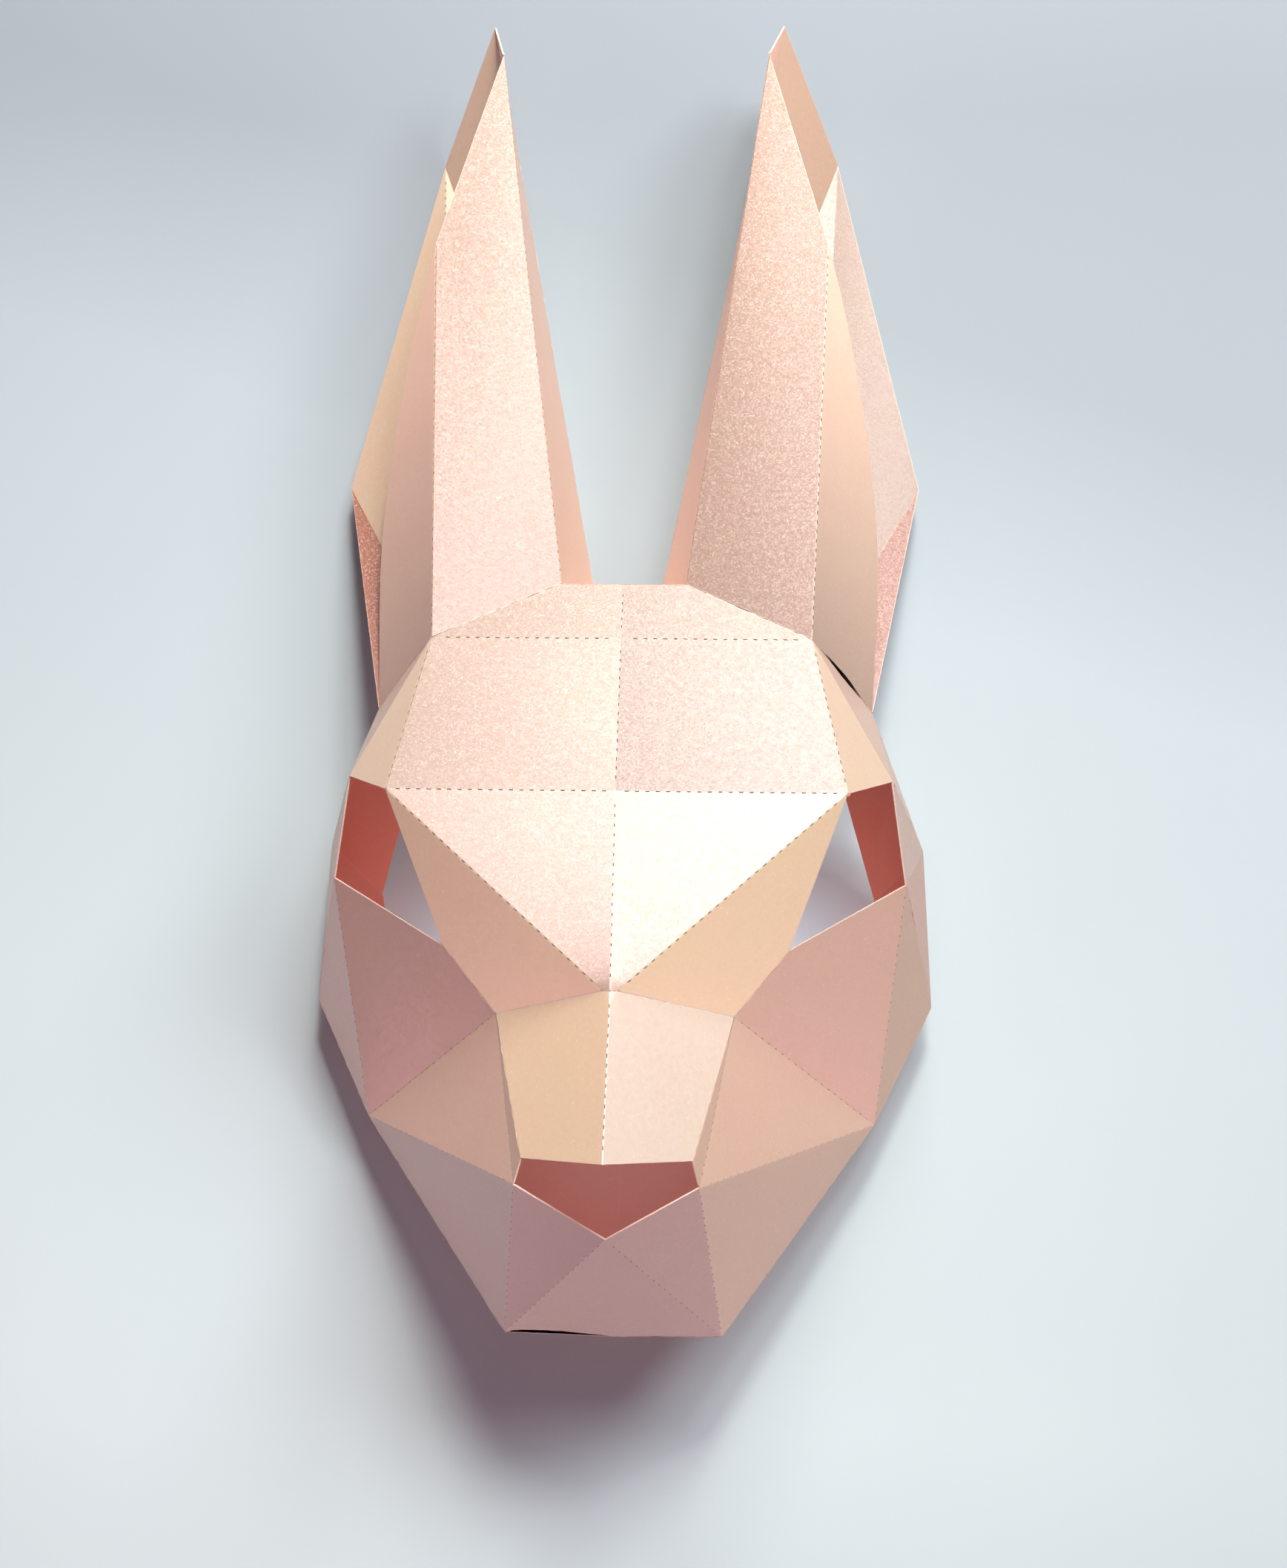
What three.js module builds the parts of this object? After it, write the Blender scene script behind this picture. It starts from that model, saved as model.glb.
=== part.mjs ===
// Folded card rabbit mask: pearl card cut, scored and folded into flat facets, then glued edge to edge.
// It lies face up on its open back. Units are millimetres, +Z is up towards the nose,
// +Y runs towards the ears and +X towards the viewer's right. The origin is under the middle of the mask.

import * as THREE from 'three';

// Driving dimensions of the face
const FACE_WIDTH = 194.4; // across the widest corners of the cheeks
const FACE_LENGTH = 226.3; // from the chin line to the top edge of the crown
const FACE_DEPTH = 100.5; // from the surface it lies on to the tip of the nose

// Driving dimensions of the ears
const EAR_SPREAD = 187.4; // across the outer corners of both ears
const EAR_LENGTH = 197.6; // from the top edge of the crown to the ear tips
const EAR_DEPTH = 48; // from the surface it lies on to the front fold of an ear

// The card and its joints
const CARD = 0.5; // thickness of the card
const SEAM_GAP = 0.3; // room between two glued sheets along a seam
const FLANK_STEPS = 6; // flat strips in the bent flank of an ear

// Corners of the face: [name, across, up, out].
// across is a share of half FACE_WIDTH, up of FACE_LENGTH above the chin, out of FACE_DEPTH.
const FACE_CORNERS = [
  ['top', 0.195, 1.0, 0.537],
  ['crown', 0.593, 0.917, 0.607],
  ['brow', 0.698, 0.703, 0.736],
  ['bridge', 0.023, 0.444, 0.798],
  ['nose_side', 0.364, 0.418, 0.557],
  ['nostril', 0.25, 0.235, 0.806],
  ['mouth', 0.271, 0.202, 0.8],
  ['chin', 0.337, 0.0, 0.318],
  ['cheek', 0.815, 0.281, 0.159],
  ['eye_top', 0.845, 0.732, 0.547],
  ['eye_low', 0.891, 0.597, 0.493],
  ['eye_inner', 0.529, 0.505, 0.572],
  ['side_high', 0.975, 0.66, 0.129],
  ['side_low', 1.0, 0.443, 0.129],
  ['ear_foot', 0.794, 0.839, 0.358],
  ['back_foot', 0.597, 0.907, 0.299],
  ['back_top', 0.097, 0.987, 0.279],
  ['rim_side', 0.825, 0.596, 0.0],
  ['rim_low', 0.725, 0.377, 0.0],
];

// Corners on the middle line of the face: [name, up, out], in the same shares.
const MIDDLE_CORNERS = [
  ['bridge_middle', 0.444, 0.806],
  ['nose_tip', 0.231, 1.0],
  ['lip', 0.136, 0.791],
  ['chin_middle', -0.003, 0.313],
  ['neck', 0.306, 0.0],
];

// Corners of an ear: [name, across, up, out].
// across is a share of half EAR_SPREAD, up of EAR_LENGTH above the crown, out of EAR_DEPTH.
const EAR_CORNERS = [
  ['front_tip', 0.46, 0.91, 0.854],
  ['back_tip', 0.512, 1.0, 0.521],
  ['kink', 0.666, 0.564, 1.0],
  ['back_notch', 0.716, 0.808, 0.0],
  ['back_corner', 1.0, 0.216, 0.188],
];

// Where the bent free edge of an ear's flank passes, from the kink down to the foot, in the same shares.
const FLANK_EDGE = [
  ['flank_high', 0.726, 0.461, 0.865],
  ['flank_middle', 0.803, 0.273, 0.719],
  ['flank_low', 0.843, 0.086, 0.646],
];

// Folds that cross the middle line: [name, corner whose left and right copies it joins]
const CROSS_FOLDS = [
  ['top_middle', 'top'],
  ['crown_middle', 'crown'],
  ['brow_middle', 'brow'],
  ['back_middle', 'back_top'],
];

const COLOURS = {
  pearl: 0xf0d0b8,
  pearl_light: 0xf6dcc8,
  pearl_shade: 0xe4bfa8,
};

// The sheets. A facet is a list of corners seen anticlockwise from outside, and opens as a fan from its first.
// 'both' sheets cross the middle line, and their facets are mirrored. 'pair' sheets are made left and right.
const foldRow = Array.from({ length: FLANK_STEPS - 1 }, (_, i) => `flank_fold_${i + 1}`);
const edgeRow = Array.from({ length: FLANK_STEPS - 1 }, (_, i) => `flank_edge_${i + 1}`);

const SHEETS = [
  {
    name: 'face_sheet',
    span: 'both',
    colour: COLOURS.pearl_light,
    facets: [
      ['crown_middle', 'crown', 'top', 'top_middle'],
      ['brow_middle', 'brow', 'crown', 'crown_middle'],
      ['brow_middle', 'bridge_middle', 'bridge', 'brow'],
      ['brow', 'bridge', 'nose_side', 'eye_inner'],
      ['crown', 'brow', 'eye_top'],
      ['crown', 'eye_top', 'ear_foot'],
      ['eye_top', 'side_high', 'ear_foot'],
      ['top_middle', 'top', 'back_top', 'back_middle'],
    ],
  },
  {
    name: 'nose_bridge',
    span: 'both',
    colour: COLOURS.pearl,
    facets: [['bridge_middle', 'nose_tip', 'nostril', 'nose_side', 'bridge']],
  },
  {
    name: 'jaw_sheet',
    span: 'both',
    colour: COLOURS.pearl_shade,
    facets: [
      ['eye_inner', 'nose_side', 'cheek', 'eye_low'],
      ['eye_low', 'cheek', 'side_low'],
      ['nose_side', 'mouth', 'cheek'],
      ['nose_side', 'nostril', 'mouth'],
      ['mouth', 'chin', 'cheek'],
      ['mouth', 'lip', 'chin'],
      ['lip', 'chin_middle', 'chin'],
    ],
  },
  {
    name: 'side_panel',
    span: 'pair',
    colour: COLOURS.pearl,
    facets: [
      ['eye_top', 'eye_low', 'side_high'],
      ['eye_low', 'side_low', 'side_high'],
      ['side_high', 'rim_side', 'back_foot', 'ear_foot'],
      ['side_high', 'side_low', 'rim_low', 'rim_side'],
      ['side_low', 'cheek', 'rim_low'],
    ],
  },
  {
    name: 'under_jaw',
    span: 'pair',
    colour: COLOURS.pearl_shade,
    facets: [['neck', 'rim_low', 'cheek', 'chin', 'chin_middle']],
  },
  {
    name: 'ear_front',
    span: 'pair',
    colour: COLOURS.pearl_light,
    facets: [
      ['front_tip', 'top', 'crown', ...foldRow, 'kink'],
      ['front_tip', 'back_tip', 'back_top', 'top'],
      ['crown', 'ear_foot', edgeRow[0], foldRow[0]],
      ...foldRow.slice(1).map((fold, i) => [foldRow[i], edgeRow[i], edgeRow[i + 1], fold]),
      [foldRow.at(-1), edgeRow.at(-1), 'kink'],
    ],
  },
  {
    name: 'ear_back',
    span: 'pair',
    colour: COLOURS.pearl,
    facets: [
      ['back_tip', 'back_notch', 'back_top'],
      ['back_notch', 'back_corner', 'back_foot'],
      ['back_notch', 'back_foot', 'back_top'],
      ['back_corner', 'ear_foot', 'back_foot'],
    ],
  },
];

// Gives every corner its place, as a map from name to point. A side corner has a left and a right copy.
function placeCorners() {
  const corners = new Map();
  const setPair = (name, x, y, z) => {
    corners.set(`${name}_right`, new THREE.Vector3(x, y, z));
    corners.set(`${name}_left`, new THREE.Vector3(-x, y, z));
  };
  for (const [name, across, up, out] of FACE_CORNERS) {
    setPair(name, (across * FACE_WIDTH) / 2, up * FACE_LENGTH, out * FACE_DEPTH);
  }
  for (const [name, across, up, out] of [...EAR_CORNERS, ...FLANK_EDGE]) {
    setPair(name, (across * EAR_SPREAD) / 2, FACE_LENGTH + up * EAR_LENGTH, out * EAR_DEPTH);
  }
  for (const [name, up, out] of MIDDLE_CORNERS) {
    corners.set(name, new THREE.Vector3(0, up * FACE_LENGTH, out * FACE_DEPTH));
  }
  for (const [name, end] of CROSS_FOLDS) {
    const fold = corners.get(`${end}_right`).clone();
    corners.set(name, fold.setX(0));
  }
  placeFlank(corners, setPair);
  return corners;
}

// Divides the dotted front fold of the flank and its bent free edge into the same number of steps.
function placeFlank(corners, setPair) {
  const at = (name) => corners.get(`${name}_right`);
  const stops = ['ear_foot', ...FLANK_EDGE.map(([name]) => name).reverse(), 'kink'];
  const edge = new THREE.CatmullRomCurve3(stops.map(at));
  const fold = new THREE.LineCurve3(at('crown'), at('kink'));
  for (let step = 1; step < FLANK_STEPS; step += 1) {
    const onFold = fold.getPointAt(step / FLANK_STEPS);
    const onEdge = edge.getPointAt(step / FLANK_STEPS);
    setPair(foldRow[step - 1], onFold.x, onFold.y, onFold.z);
    setPair(edgeRow[step - 1], onEdge.x, onEdge.y, onEdge.z);
  }
}

// Names one side's copy of a corner; a corner on the middle line has only one.
function onSide(corners, name, side) {
  return corners.has(name) ? name : `${name}_${side}`;
}

// Turns a sheet's facets into triangles of corner names for one side, wound to face outwards.
function trianglesOnSide(corners, facets, side) {
  const triangles = [];
  for (const facet of facets) {
    const names = facet.map((name) => onSide(corners, name, side));
    for (let i = 1; i < names.length - 1; i += 1) {
      const [a, b, c] = [names[0], names[i], names[i + 1]];
      triangles.push(side === 'right' ? [a, b, c] : [a, c, b]);
    }
  }
  return triangles;
}

// Lists the sheets that are cut from card, each with its node name, colour and triangles.
function layOutSheets(corners) {
  const sheets = [];
  for (const { name, span, colour, facets } of SHEETS) {
    const left = trianglesOnSide(corners, facets, 'left');
    const right = trianglesOnSide(corners, facets, 'right');
    if (span === 'both') {
      sheets.push({ name, colour, triangles: [...left, ...right] });
    } else {
      sheets.push({ name: `${name}_left`, colour, triangles: left });
      sheets.push({ name: `${name}_right`, colour, triangles: right });
    }
  }
  return sheets;
}

// The outward unit normal of a triangle of corner names.
function facetNormal(corners, [a, b, c]) {
  const start = corners.get(a);
  const along = corners.get(b).clone().sub(start);
  const across = corners.get(c).clone().sub(start);
  return along.cross(across).normalize();
}

// Finds the step from each corner on the outer face to its match on the inner face, so that every
// facet around the corner, of whichever sheet, is one card thick and neighbours meet in a mitre.
function innerSteps(corners, sheets) {
  const STIFFNESS = 0.02; // keeps the step short where facets are nearly parallel
  const steps = new Map();
  for (const name of corners.keys()) {
    const sum = new THREE.Vector3();
    const m = new Float64Array(6);
    for (const { triangles } of sheets) {
      for (const triangle of triangles.filter((names) => names.includes(name))) {
        const n = facetNormal(corners, triangle);
        sum.add(n);
        m[0] += n.x * n.x;
        m[1] += n.x * n.y;
        m[2] += n.x * n.z;
        m[3] += n.y * n.y;
        m[4] += n.y * n.z;
        m[5] += n.z * n.z;
      }
    }
    const system = new THREE.Matrix3().set(
      m[0] + STIFFNESS, m[1], m[2],
      m[1], m[3] + STIFFNESS, m[4],
      m[2], m[4], m[5] + STIFFNESS,
    );
    steps.set(name, sum.applyMatrix3(system.invert()).multiplyScalar(-CARD));
  }
  return steps;
}

// Collects the cut edges of a sheet: those that only one of its triangles has, kept in that one's direction.
function cutEdges(triangles) {
  const edges = new Map();
  for (const triangle of triangles) {
    triangle.forEach((from, i) => {
      const to = triangle[(i + 1) % 3];
      const twin = `${to}>${from}`;
      if (edges.has(twin)) {
        edges.delete(twin);
      } else {
        edges.set(`${from}>${to}`, { from, to, triangle });
      }
    });
  }
  return [...edges.values()];
}

// Finds how far each corner of a sheet draws back inside the sheet, to leave half of the seam gap there.
function drawBack(corners, sheet, shared) {
  const steps = new Map();
  const inward = new Map();
  for (const { from, to, triangle } of cutEdges(sheet.triangles)) {
    const normal = facetNormal(corners, triangle);
    const along = corners.get(to).clone().sub(corners.get(from)).normalize();
    const inside = normal.clone().cross(along);
    for (const end of [from, to]) {
      inward.set(end, [...(inward.get(end) ?? []), inside]);
    }
  }
  for (const [name, sides] of inward) {
    const [first, second] = sides;
    const step = first.clone().add(second);
    const reach = step.dot(first);
    if (shared.has(name)) {
      steps.set(name, step.multiplyScalar(SEAM_GAP / 2 / reach));
    }
  }
  return steps;
}

// Builds one sheet as a closed thin body: outer face, inner face and the cut edges between them.
function buildSheet(corners, steps, sheet, shared) {
  const back = drawBack(corners, sheet, shared);
  const outer = (name) => {
    const place = corners.get(name).clone();
    return back.has(name) ? place.add(back.get(name)) : place;
  };
  const inner = (name) => outer(name).add(steps.get(name));
  const positions = [];
  const addTriangle = (a, b, c) => positions.push(...a.toArray(), ...b.toArray(), ...c.toArray());
  for (const [a, b, c] of sheet.triangles) {
    addTriangle(outer(a), outer(b), outer(c));
    addTriangle(inner(a), inner(c), inner(b));
  }
  for (const { from, to } of cutEdges(sheet.triangles)) {
    addTriangle(outer(to), outer(from), inner(from));
    addTriangle(outer(to), inner(from), inner(to));
  }
  const geometry = new THREE.BufferGeometry();
  geometry.setAttribute('position', new THREE.Float32BufferAttribute(positions, 3));
  geometry.computeVertexNormals();
  return geometry;
}

// Lists the corners that more than one sheet touches.
function sharedCorners(sheets) {
  const owners = new Map();
  for (const { name, triangles } of sheets) {
    for (const corner of new Set(triangles.flat())) {
      owners.set(corner, [...(owners.get(corner) ?? []), name]);
    }
  }
  return new Set([...owners].filter(([, names]) => names.length > 1).map(([corner]) => corner));
}

// Builds the whole mask and stands it on its origin: bottom centre of its box.
function buildMask() {
  const corners = placeCorners();
  const sheets = layOutSheets(corners);
  const steps = innerSteps(corners, sheets);
  const shared = sharedCorners(sheets);
  const mask = new THREE.Group();
  mask.name = 'rabbit_mask';
  for (const sheet of sheets) {
    const material = new THREE.MeshStandardMaterial({ color: sheet.colour, roughness: 0.45, metalness: 0.15 });
    const mesh = new THREE.Mesh(buildSheet(corners, steps, sheet, shared), material);
    mesh.name = sheet.name;
    mask.add(mesh);
  }
  const box = new THREE.Box3().setFromObject(mask);
  const centre = box.getCenter(new THREE.Vector3());
  mask.position.set(-centre.x, -centre.y, -box.min.z);
  return mask;
}

export default buildMask();
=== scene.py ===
"""Rabbit mask of folded pearl card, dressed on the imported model's frame. Lengths are in metres."""

import logging
import math
from collections.abc import Sequence
from dataclasses import dataclass, field, replace
from enum import Enum

import bpy
import numpy as np
from mathutils import Matrix, Vector
from mathutils.geometry import delaunay_2d_cdt


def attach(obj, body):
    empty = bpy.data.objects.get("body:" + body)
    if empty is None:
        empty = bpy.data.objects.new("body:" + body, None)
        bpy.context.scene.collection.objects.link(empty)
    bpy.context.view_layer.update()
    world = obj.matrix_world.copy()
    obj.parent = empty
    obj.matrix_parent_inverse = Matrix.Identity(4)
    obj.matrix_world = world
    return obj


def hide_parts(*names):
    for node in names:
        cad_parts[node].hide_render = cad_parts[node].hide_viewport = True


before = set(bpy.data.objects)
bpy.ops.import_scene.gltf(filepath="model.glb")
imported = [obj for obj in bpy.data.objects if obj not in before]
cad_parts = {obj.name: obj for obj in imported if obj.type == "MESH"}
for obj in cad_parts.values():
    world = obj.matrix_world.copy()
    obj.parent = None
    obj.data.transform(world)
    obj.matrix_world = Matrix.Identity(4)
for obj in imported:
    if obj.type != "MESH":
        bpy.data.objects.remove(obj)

LOG = logging.getLogger("rabbit_mask")
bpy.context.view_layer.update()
MM = 0.001

Array = np.ndarray
Colour = tuple[float, float, float]


# Sizes and corners of the folded shape


@dataclass(frozen=True)
class MaskSizes:
    """Driving sizes of the mask, the same ones as the solids have."""

    face_width: float = 194.4 * MM
    face_length: float = 226.3 * MM
    face_depth: float = 100.5 * MM
    ear_spread: float = 187.4 * MM
    ear_length: float = 197.6 * MM
    ear_depth: float = 48.0 * MM
    chin_y: float = -211.47 * MM
    card: float = 0.5 * MM
    seam_gap: float = 0.3 * MM


# Corners of the face: across in halves of face_width, up in face_length above the chin, out in face_depth.
FACE_CORNERS: dict[str, tuple[float, float, float]] = {
    "top": (0.195, 1.0, 0.537),
    "crown": (0.593, 0.917, 0.607),
    "brow": (0.698, 0.703, 0.736),
    "bridge": (0.023, 0.444, 0.798),
    "nose_side": (0.364, 0.418, 0.557),
    "nostril": (0.25, 0.235, 0.806),
    "mouth": (0.271, 0.202, 0.8),
    "chin": (0.337, 0.0, 0.318),
    "cheek": (0.815, 0.281, 0.159),
    "eye_top": (0.845, 0.732, 0.547),
    "eye_low": (0.891, 0.597, 0.493),
    "eye_inner": (0.529, 0.505, 0.572),
    "side_high": (0.975, 0.66, 0.129),
    "side_low": (1.0, 0.443, 0.129),
    "ear_foot": (0.794, 0.839, 0.358),
    "back_foot": (0.597, 0.907, 0.299),
    "back_top": (0.097, 0.987, 0.279),
    "rim_side": (0.825, 0.596, 0.0),
    "rim_low": (0.725, 0.377, 0.0),
}

# Corners on the middle line: up and out in the same shares.
MIDDLE_CORNERS: dict[str, tuple[float, float]] = {
    "top_middle": (1.0, 0.537),
    "crown_middle": (0.917, 0.607),
    "brow_middle": (0.703, 0.736),
    "back_middle": (0.987, 0.279),
    "bridge_middle": (0.444, 0.806),
    "nose_tip": (0.231, 1.0),
    "lip": (0.136, 0.791),
    "chin_middle": (-0.003, 0.313),
    "neck": (0.306, 0.0),
}

# Corners of an ear: across in halves of ear_spread, up in ear_length above the crown, out in ear_depth.
EAR_CORNERS: dict[str, tuple[float, float, float]] = {
    "front_tip": (0.46, 0.91, 0.854),
    "back_tip": (0.512, 1.0, 0.521),
    "kink": (0.666, 0.564, 1.0),
    "back_notch": (0.716, 0.808, 0.0),
    "back_corner": (1.0, 0.216, 0.188),
    "flank_high": (0.726, 0.461, 0.865),
    "flank_middle": (0.803, 0.273, 0.719),
    "flank_low": (0.843, 0.086, 0.646),
}


class Side(Enum):
    """The two mirrored halves of the mask, as the viewer sees them."""

    LEFT = "left"
    RIGHT = "right"

    @property
    def sign(self) -> float:
        """Which way across the half lies."""
        return 1.0 if self is Side.RIGHT else -1.0


class Corners:
    """Every named corner's place. A side corner has a left and a right copy."""

    def __init__(self, sizes: MaskSizes) -> None:
        """Places all corners.

        Args:
            sizes: the driving sizes.
        """
        self.places: dict[str, Array] = {}
        for name, (up, out) in MIDDLE_CORNERS.items():
            y = sizes.chin_y + up * sizes.face_length
            self.places[name] = np.array((0.0, y, out * sizes.face_depth))
        for side in Side:
            for name, (across, up, out) in FACE_CORNERS.items():
                x = side.sign * across * sizes.face_width / 2
                y = sizes.chin_y + up * sizes.face_length
                self.places[f"{name}_{side.value}"] = np.array((x, y, out * sizes.face_depth))
            for name, (across, up, out) in EAR_CORNERS.items():
                x = side.sign * across * sizes.ear_spread / 2
                y = sizes.chin_y + sizes.face_length + up * sizes.ear_length
                self.places[f"{name}_{side.value}"] = np.array((x, y, out * sizes.ear_depth))

    def on_side(self, name: str, side: Side) -> str:
        """Names one side's copy of a corner; a corner on the middle line has only one."""
        return name if name in self.places else f"{name}_{side.value}"

    def at(self, name: str) -> Array:
        """The place of a corner."""
        return self.places[name]


@dataclass(frozen=True)
class PaintedShading:
    """Painted light and shade on a facet's coat: how much lighter or darker it is painted on the left and on the
    right, which way the painted light tints it, and how far it is painted lighter towards one end.
    """

    left: float = 1.0
    right: float = 1.0
    tint: Colour = (1.0, 1.0, 1.0)
    right_tint: Colour | None = None
    fade: float = 0.0

    def on(self, side: Side) -> Array:
        """The factor of painted light and shade for the coat's colour on one side.

        Args:
            side: which side.

        Returns:
            Its red, green and blue.
        """
        if side is Side.LEFT:
            return self.left * np.array(self.tint)
        return self.right * np.array(self.right_tint or self.tint)


PLAIN = np.ones(3)
# Tints of painted light and sheen on the coat, by the way a facet lies to the lamps.
PEACH = (1.17, 0.96, 0.87)
SAND = (1.0, 1.12, 1.0)
HONEY = (1.0, 1.32, 1.04)
CREAM = (1.0, 1.21, 1.3)
MAUVE = (1.0, 1.28, 1.37)
ROSE = (1.0, 1.12, 1.06)
AMBER = (1.0, 0.35, 0.1)
APRICOT = (1.17, 0.985, 0.815)
WARM = (1.05, 0.95, 0.92)
BLUSH = (1.0, 1.01, 0.95)


# How card is folded and cut


class Crease(Enum):
    """How a fold was prepared."""

    PERFORATED = "perforated"
    FINE = "fine"
    FAINT = "faint"
    SOFT = "soft"


@dataclass(frozen=True)
class CreaseStyle:
    """Sizes of a fold: half its rounded width, the row of short cuts along it, and how strongly their slots are
    painted dark as shade.
    """

    half_width: float
    pitch: float = 0.0
    dash: float = 0.0
    depth: float = 0.0
    dark: float = 0.0
    ramp: float = 0.14 * MM
    margin: float = 1.2 * MM


CREASES: dict[Crease, CreaseStyle] = {
    Crease.PERFORATED: CreaseStyle(0.48 * MM, pitch=3.1 * MM, dash=1.3 * MM, depth=0.32 * MM, dark=1.0),
    Crease.FINE: CreaseStyle(0.42 * MM, pitch=3.0 * MM, dash=1.0 * MM, depth=0.28 * MM, dark=1.0),
    Crease.FAINT: CreaseStyle(0.4 * MM, pitch=3.2 * MM, dash=0.8 * MM, depth=0.22 * MM, dark=0.85),
    Crease.SOFT: CreaseStyle(0.6 * MM),
}


# How far apart a facet's slope is measured.
SLOPE_STEP = 0.3 * MM


def unit(vectors: Array) -> Array:
    """Scales vectors, one or many, to length one."""
    return vectors / np.maximum(np.linalg.norm(vectors, axis=-1, keepdims=True), 1e-12)


def cross_2d(a: Array, b: Array) -> Array:
    """The signed area of the parallelogram of two flat vectors."""
    return a[..., 0] * b[..., 1] - a[..., 1] * b[..., 0]


def meet(start_a: Array, along_a: Array, start_b: Array, along_b: Array) -> Array:
    """Where two flat lines meet.

    Args:
        start_a: a point of the first line.
        along_a: its direction.
        start_b: a point of the second line.
        along_b: its direction.

    Returns:
        The crossing, or the middle of the two starts where the lines are parallel.
    """
    spread = cross_2d(along_a, along_b)
    if abs(spread) < 1e-6:
        return (start_a + start_b) / 2
    return start_a + along_a * cross_2d(start_b - start_a, along_b) / spread


@dataclass
class Panel:
    """One facet of card: a flat or nearly flat polygon with a slight bow.

    Its flat copy is anticlockwise seen from outside, and edge i runs from corner i to the next.
    """

    corners: list[str]
    places: Array
    bow: float = 0.0
    tone: Array = field(default_factory=lambda: PLAIN)

    def __post_init__(self) -> None:
        """Finds the panel's plane and lays its corners out flat."""
        self.centre = self.places.mean(axis=0)
        following = np.roll(self.places, -1, axis=0)
        self.normal = unit(np.cross(self.places - self.centre, following - self.centre).sum(axis=0))
        first = self.places[1] - self.places[0]
        self.axis_u = unit(first - self.normal * (first @ self.normal))
        self.axis_v = np.cross(self.normal, self.axis_u)
        offset = self.places - self.centre
        self.flat = np.stack((offset @ self.axis_u, offset @ self.axis_v), axis=1)
        self.heights = offset @ self.normal
        self.along = unit(np.roll(self.flat, -1, axis=0) - self.flat)
        self.inward = np.stack((-self.along[:, 1], self.along[:, 0]), axis=1)
        self.widths = np.zeros(len(self.corners))
        samples = self.flat.mean(axis=0) + (self.flat - self.flat.mean(axis=0)) * 0.35
        samples = np.vstack((samples, self.flat.mean(axis=0)))
        self.bow_scale = 1.0 / max(float(self.edge_product(samples).max()), 1e-18)

    def painted_shadings(self, points: Array) -> Array:
        """The painted light and shade of the coat at flat points."""
        return np.tile(self.tone, (len(points), 1))

    def edge_product(self, points: Array) -> Array:
        """Multiplies each point's distances to all edges.

        Args:
            points: flat points.

        Returns:
            The products, zero outside.
        """
        product = np.ones(len(points))
        for corner, inward in zip(self.flat, self.inward):
            product *= np.maximum((points - corner) @ inward, 0.0)
        return product

    def corner_at(self, corner: int, depth_in: float, depth_out: float) -> Array:
        """The flat corner where the edges before and after it meet, each drawn inwards.

        Args:
            corner: which corner.
            depth_in: how far the edge that ends there is drawn in.
            depth_out: how far the edge that starts there is drawn in.

        Returns:
            The flat point.
        """
        before = corner - 1
        start_a = self.flat[before] + self.inward[before] * depth_in
        start_b = self.flat[corner] + self.inward[corner] * depth_out
        return meet(start_a, self.along[before], start_b, self.along[corner])

    def edge_row(self, edge: int, shares: Array, depth: Array | float) -> Array:
        """Flat points along an edge.

        Args:
            edge: which edge.
            shares: how far along its inset run each point is, from 0 to 1.
            depth: how far in from the edge's line the points lie.

        Returns:
            The flat points.
        """
        after = (edge + 1) % len(self.corners)
        start = self.corner_at(edge, self.widths[edge - 1], self.widths[edge])
        end = self.corner_at(after, self.widths[edge], self.widths[after])
        rows = start + np.outer(shares, end - start)
        shift = np.broadcast_to(self.widths[edge] - np.asarray(depth), len(shares))
        return rows - np.outer(shift, self.inward[edge])

    def surface(self, points: Array) -> Array:
        """Places flat points in space, with twist between the corners and bow.

        Args:
            points: flat points in or on the polygon.

        Returns:
            Their places.
        """
        lifted = self.centre + np.outer(points[:, 0], self.axis_u) + np.outer(points[:, 1], self.axis_v)
        height = self.bow * self.edge_product(points) * self.bow_scale
        if np.abs(self.heights).max() > 1e-6:
            height = height + self.corner_shares(points) @ self.heights
        return lifted + np.outer(height, self.normal)

    def corner_shares(self, points: Array) -> Array:
        """Mean value coordinates: how much each corner weighs at each point.

        Args:
            points: flat points in or on the polygon.

        Returns:
            A row of shares for each point, which add up to one.
        """
        middle = self.flat.mean(axis=0)
        near = points + (middle - points) * 1e-4
        spokes = self.flat[None, :, :] - near[:, None, :]
        lengths = np.linalg.norm(spokes, axis=2)
        following = np.roll(spokes, -1, axis=1)
        dots = (spokes * following).sum(axis=2)
        crosses = cross_2d(spokes, following)
        tangents = crosses / (lengths * np.roll(lengths, -1, axis=1) + dots + 1e-15)
        weights = (tangents + np.roll(tangents, 1, axis=1)) / (lengths + 1e-12)
        return weights / weights.sum(axis=1, keepdims=True)

    def lift(self, points: Array) -> tuple[Array, Array]:
        """Places flat points in space.

        Args:
            points: flat points in or on the polygon.

        Returns:
            Their places and the surface's outward normals there.
        """
        near = points + unit(self.flat.mean(axis=0) - points) * (2 * SLOPE_STEP)
        across = self.surface(near + (SLOPE_STEP, 0.0)) - self.surface(near - (SLOPE_STEP, 0.0))
        up = self.surface(near + (0.0, SLOPE_STEP)) - self.surface(near - (0.0, SLOPE_STEP))
        return self.surface(points), unit(np.cross(across, up))


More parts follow.
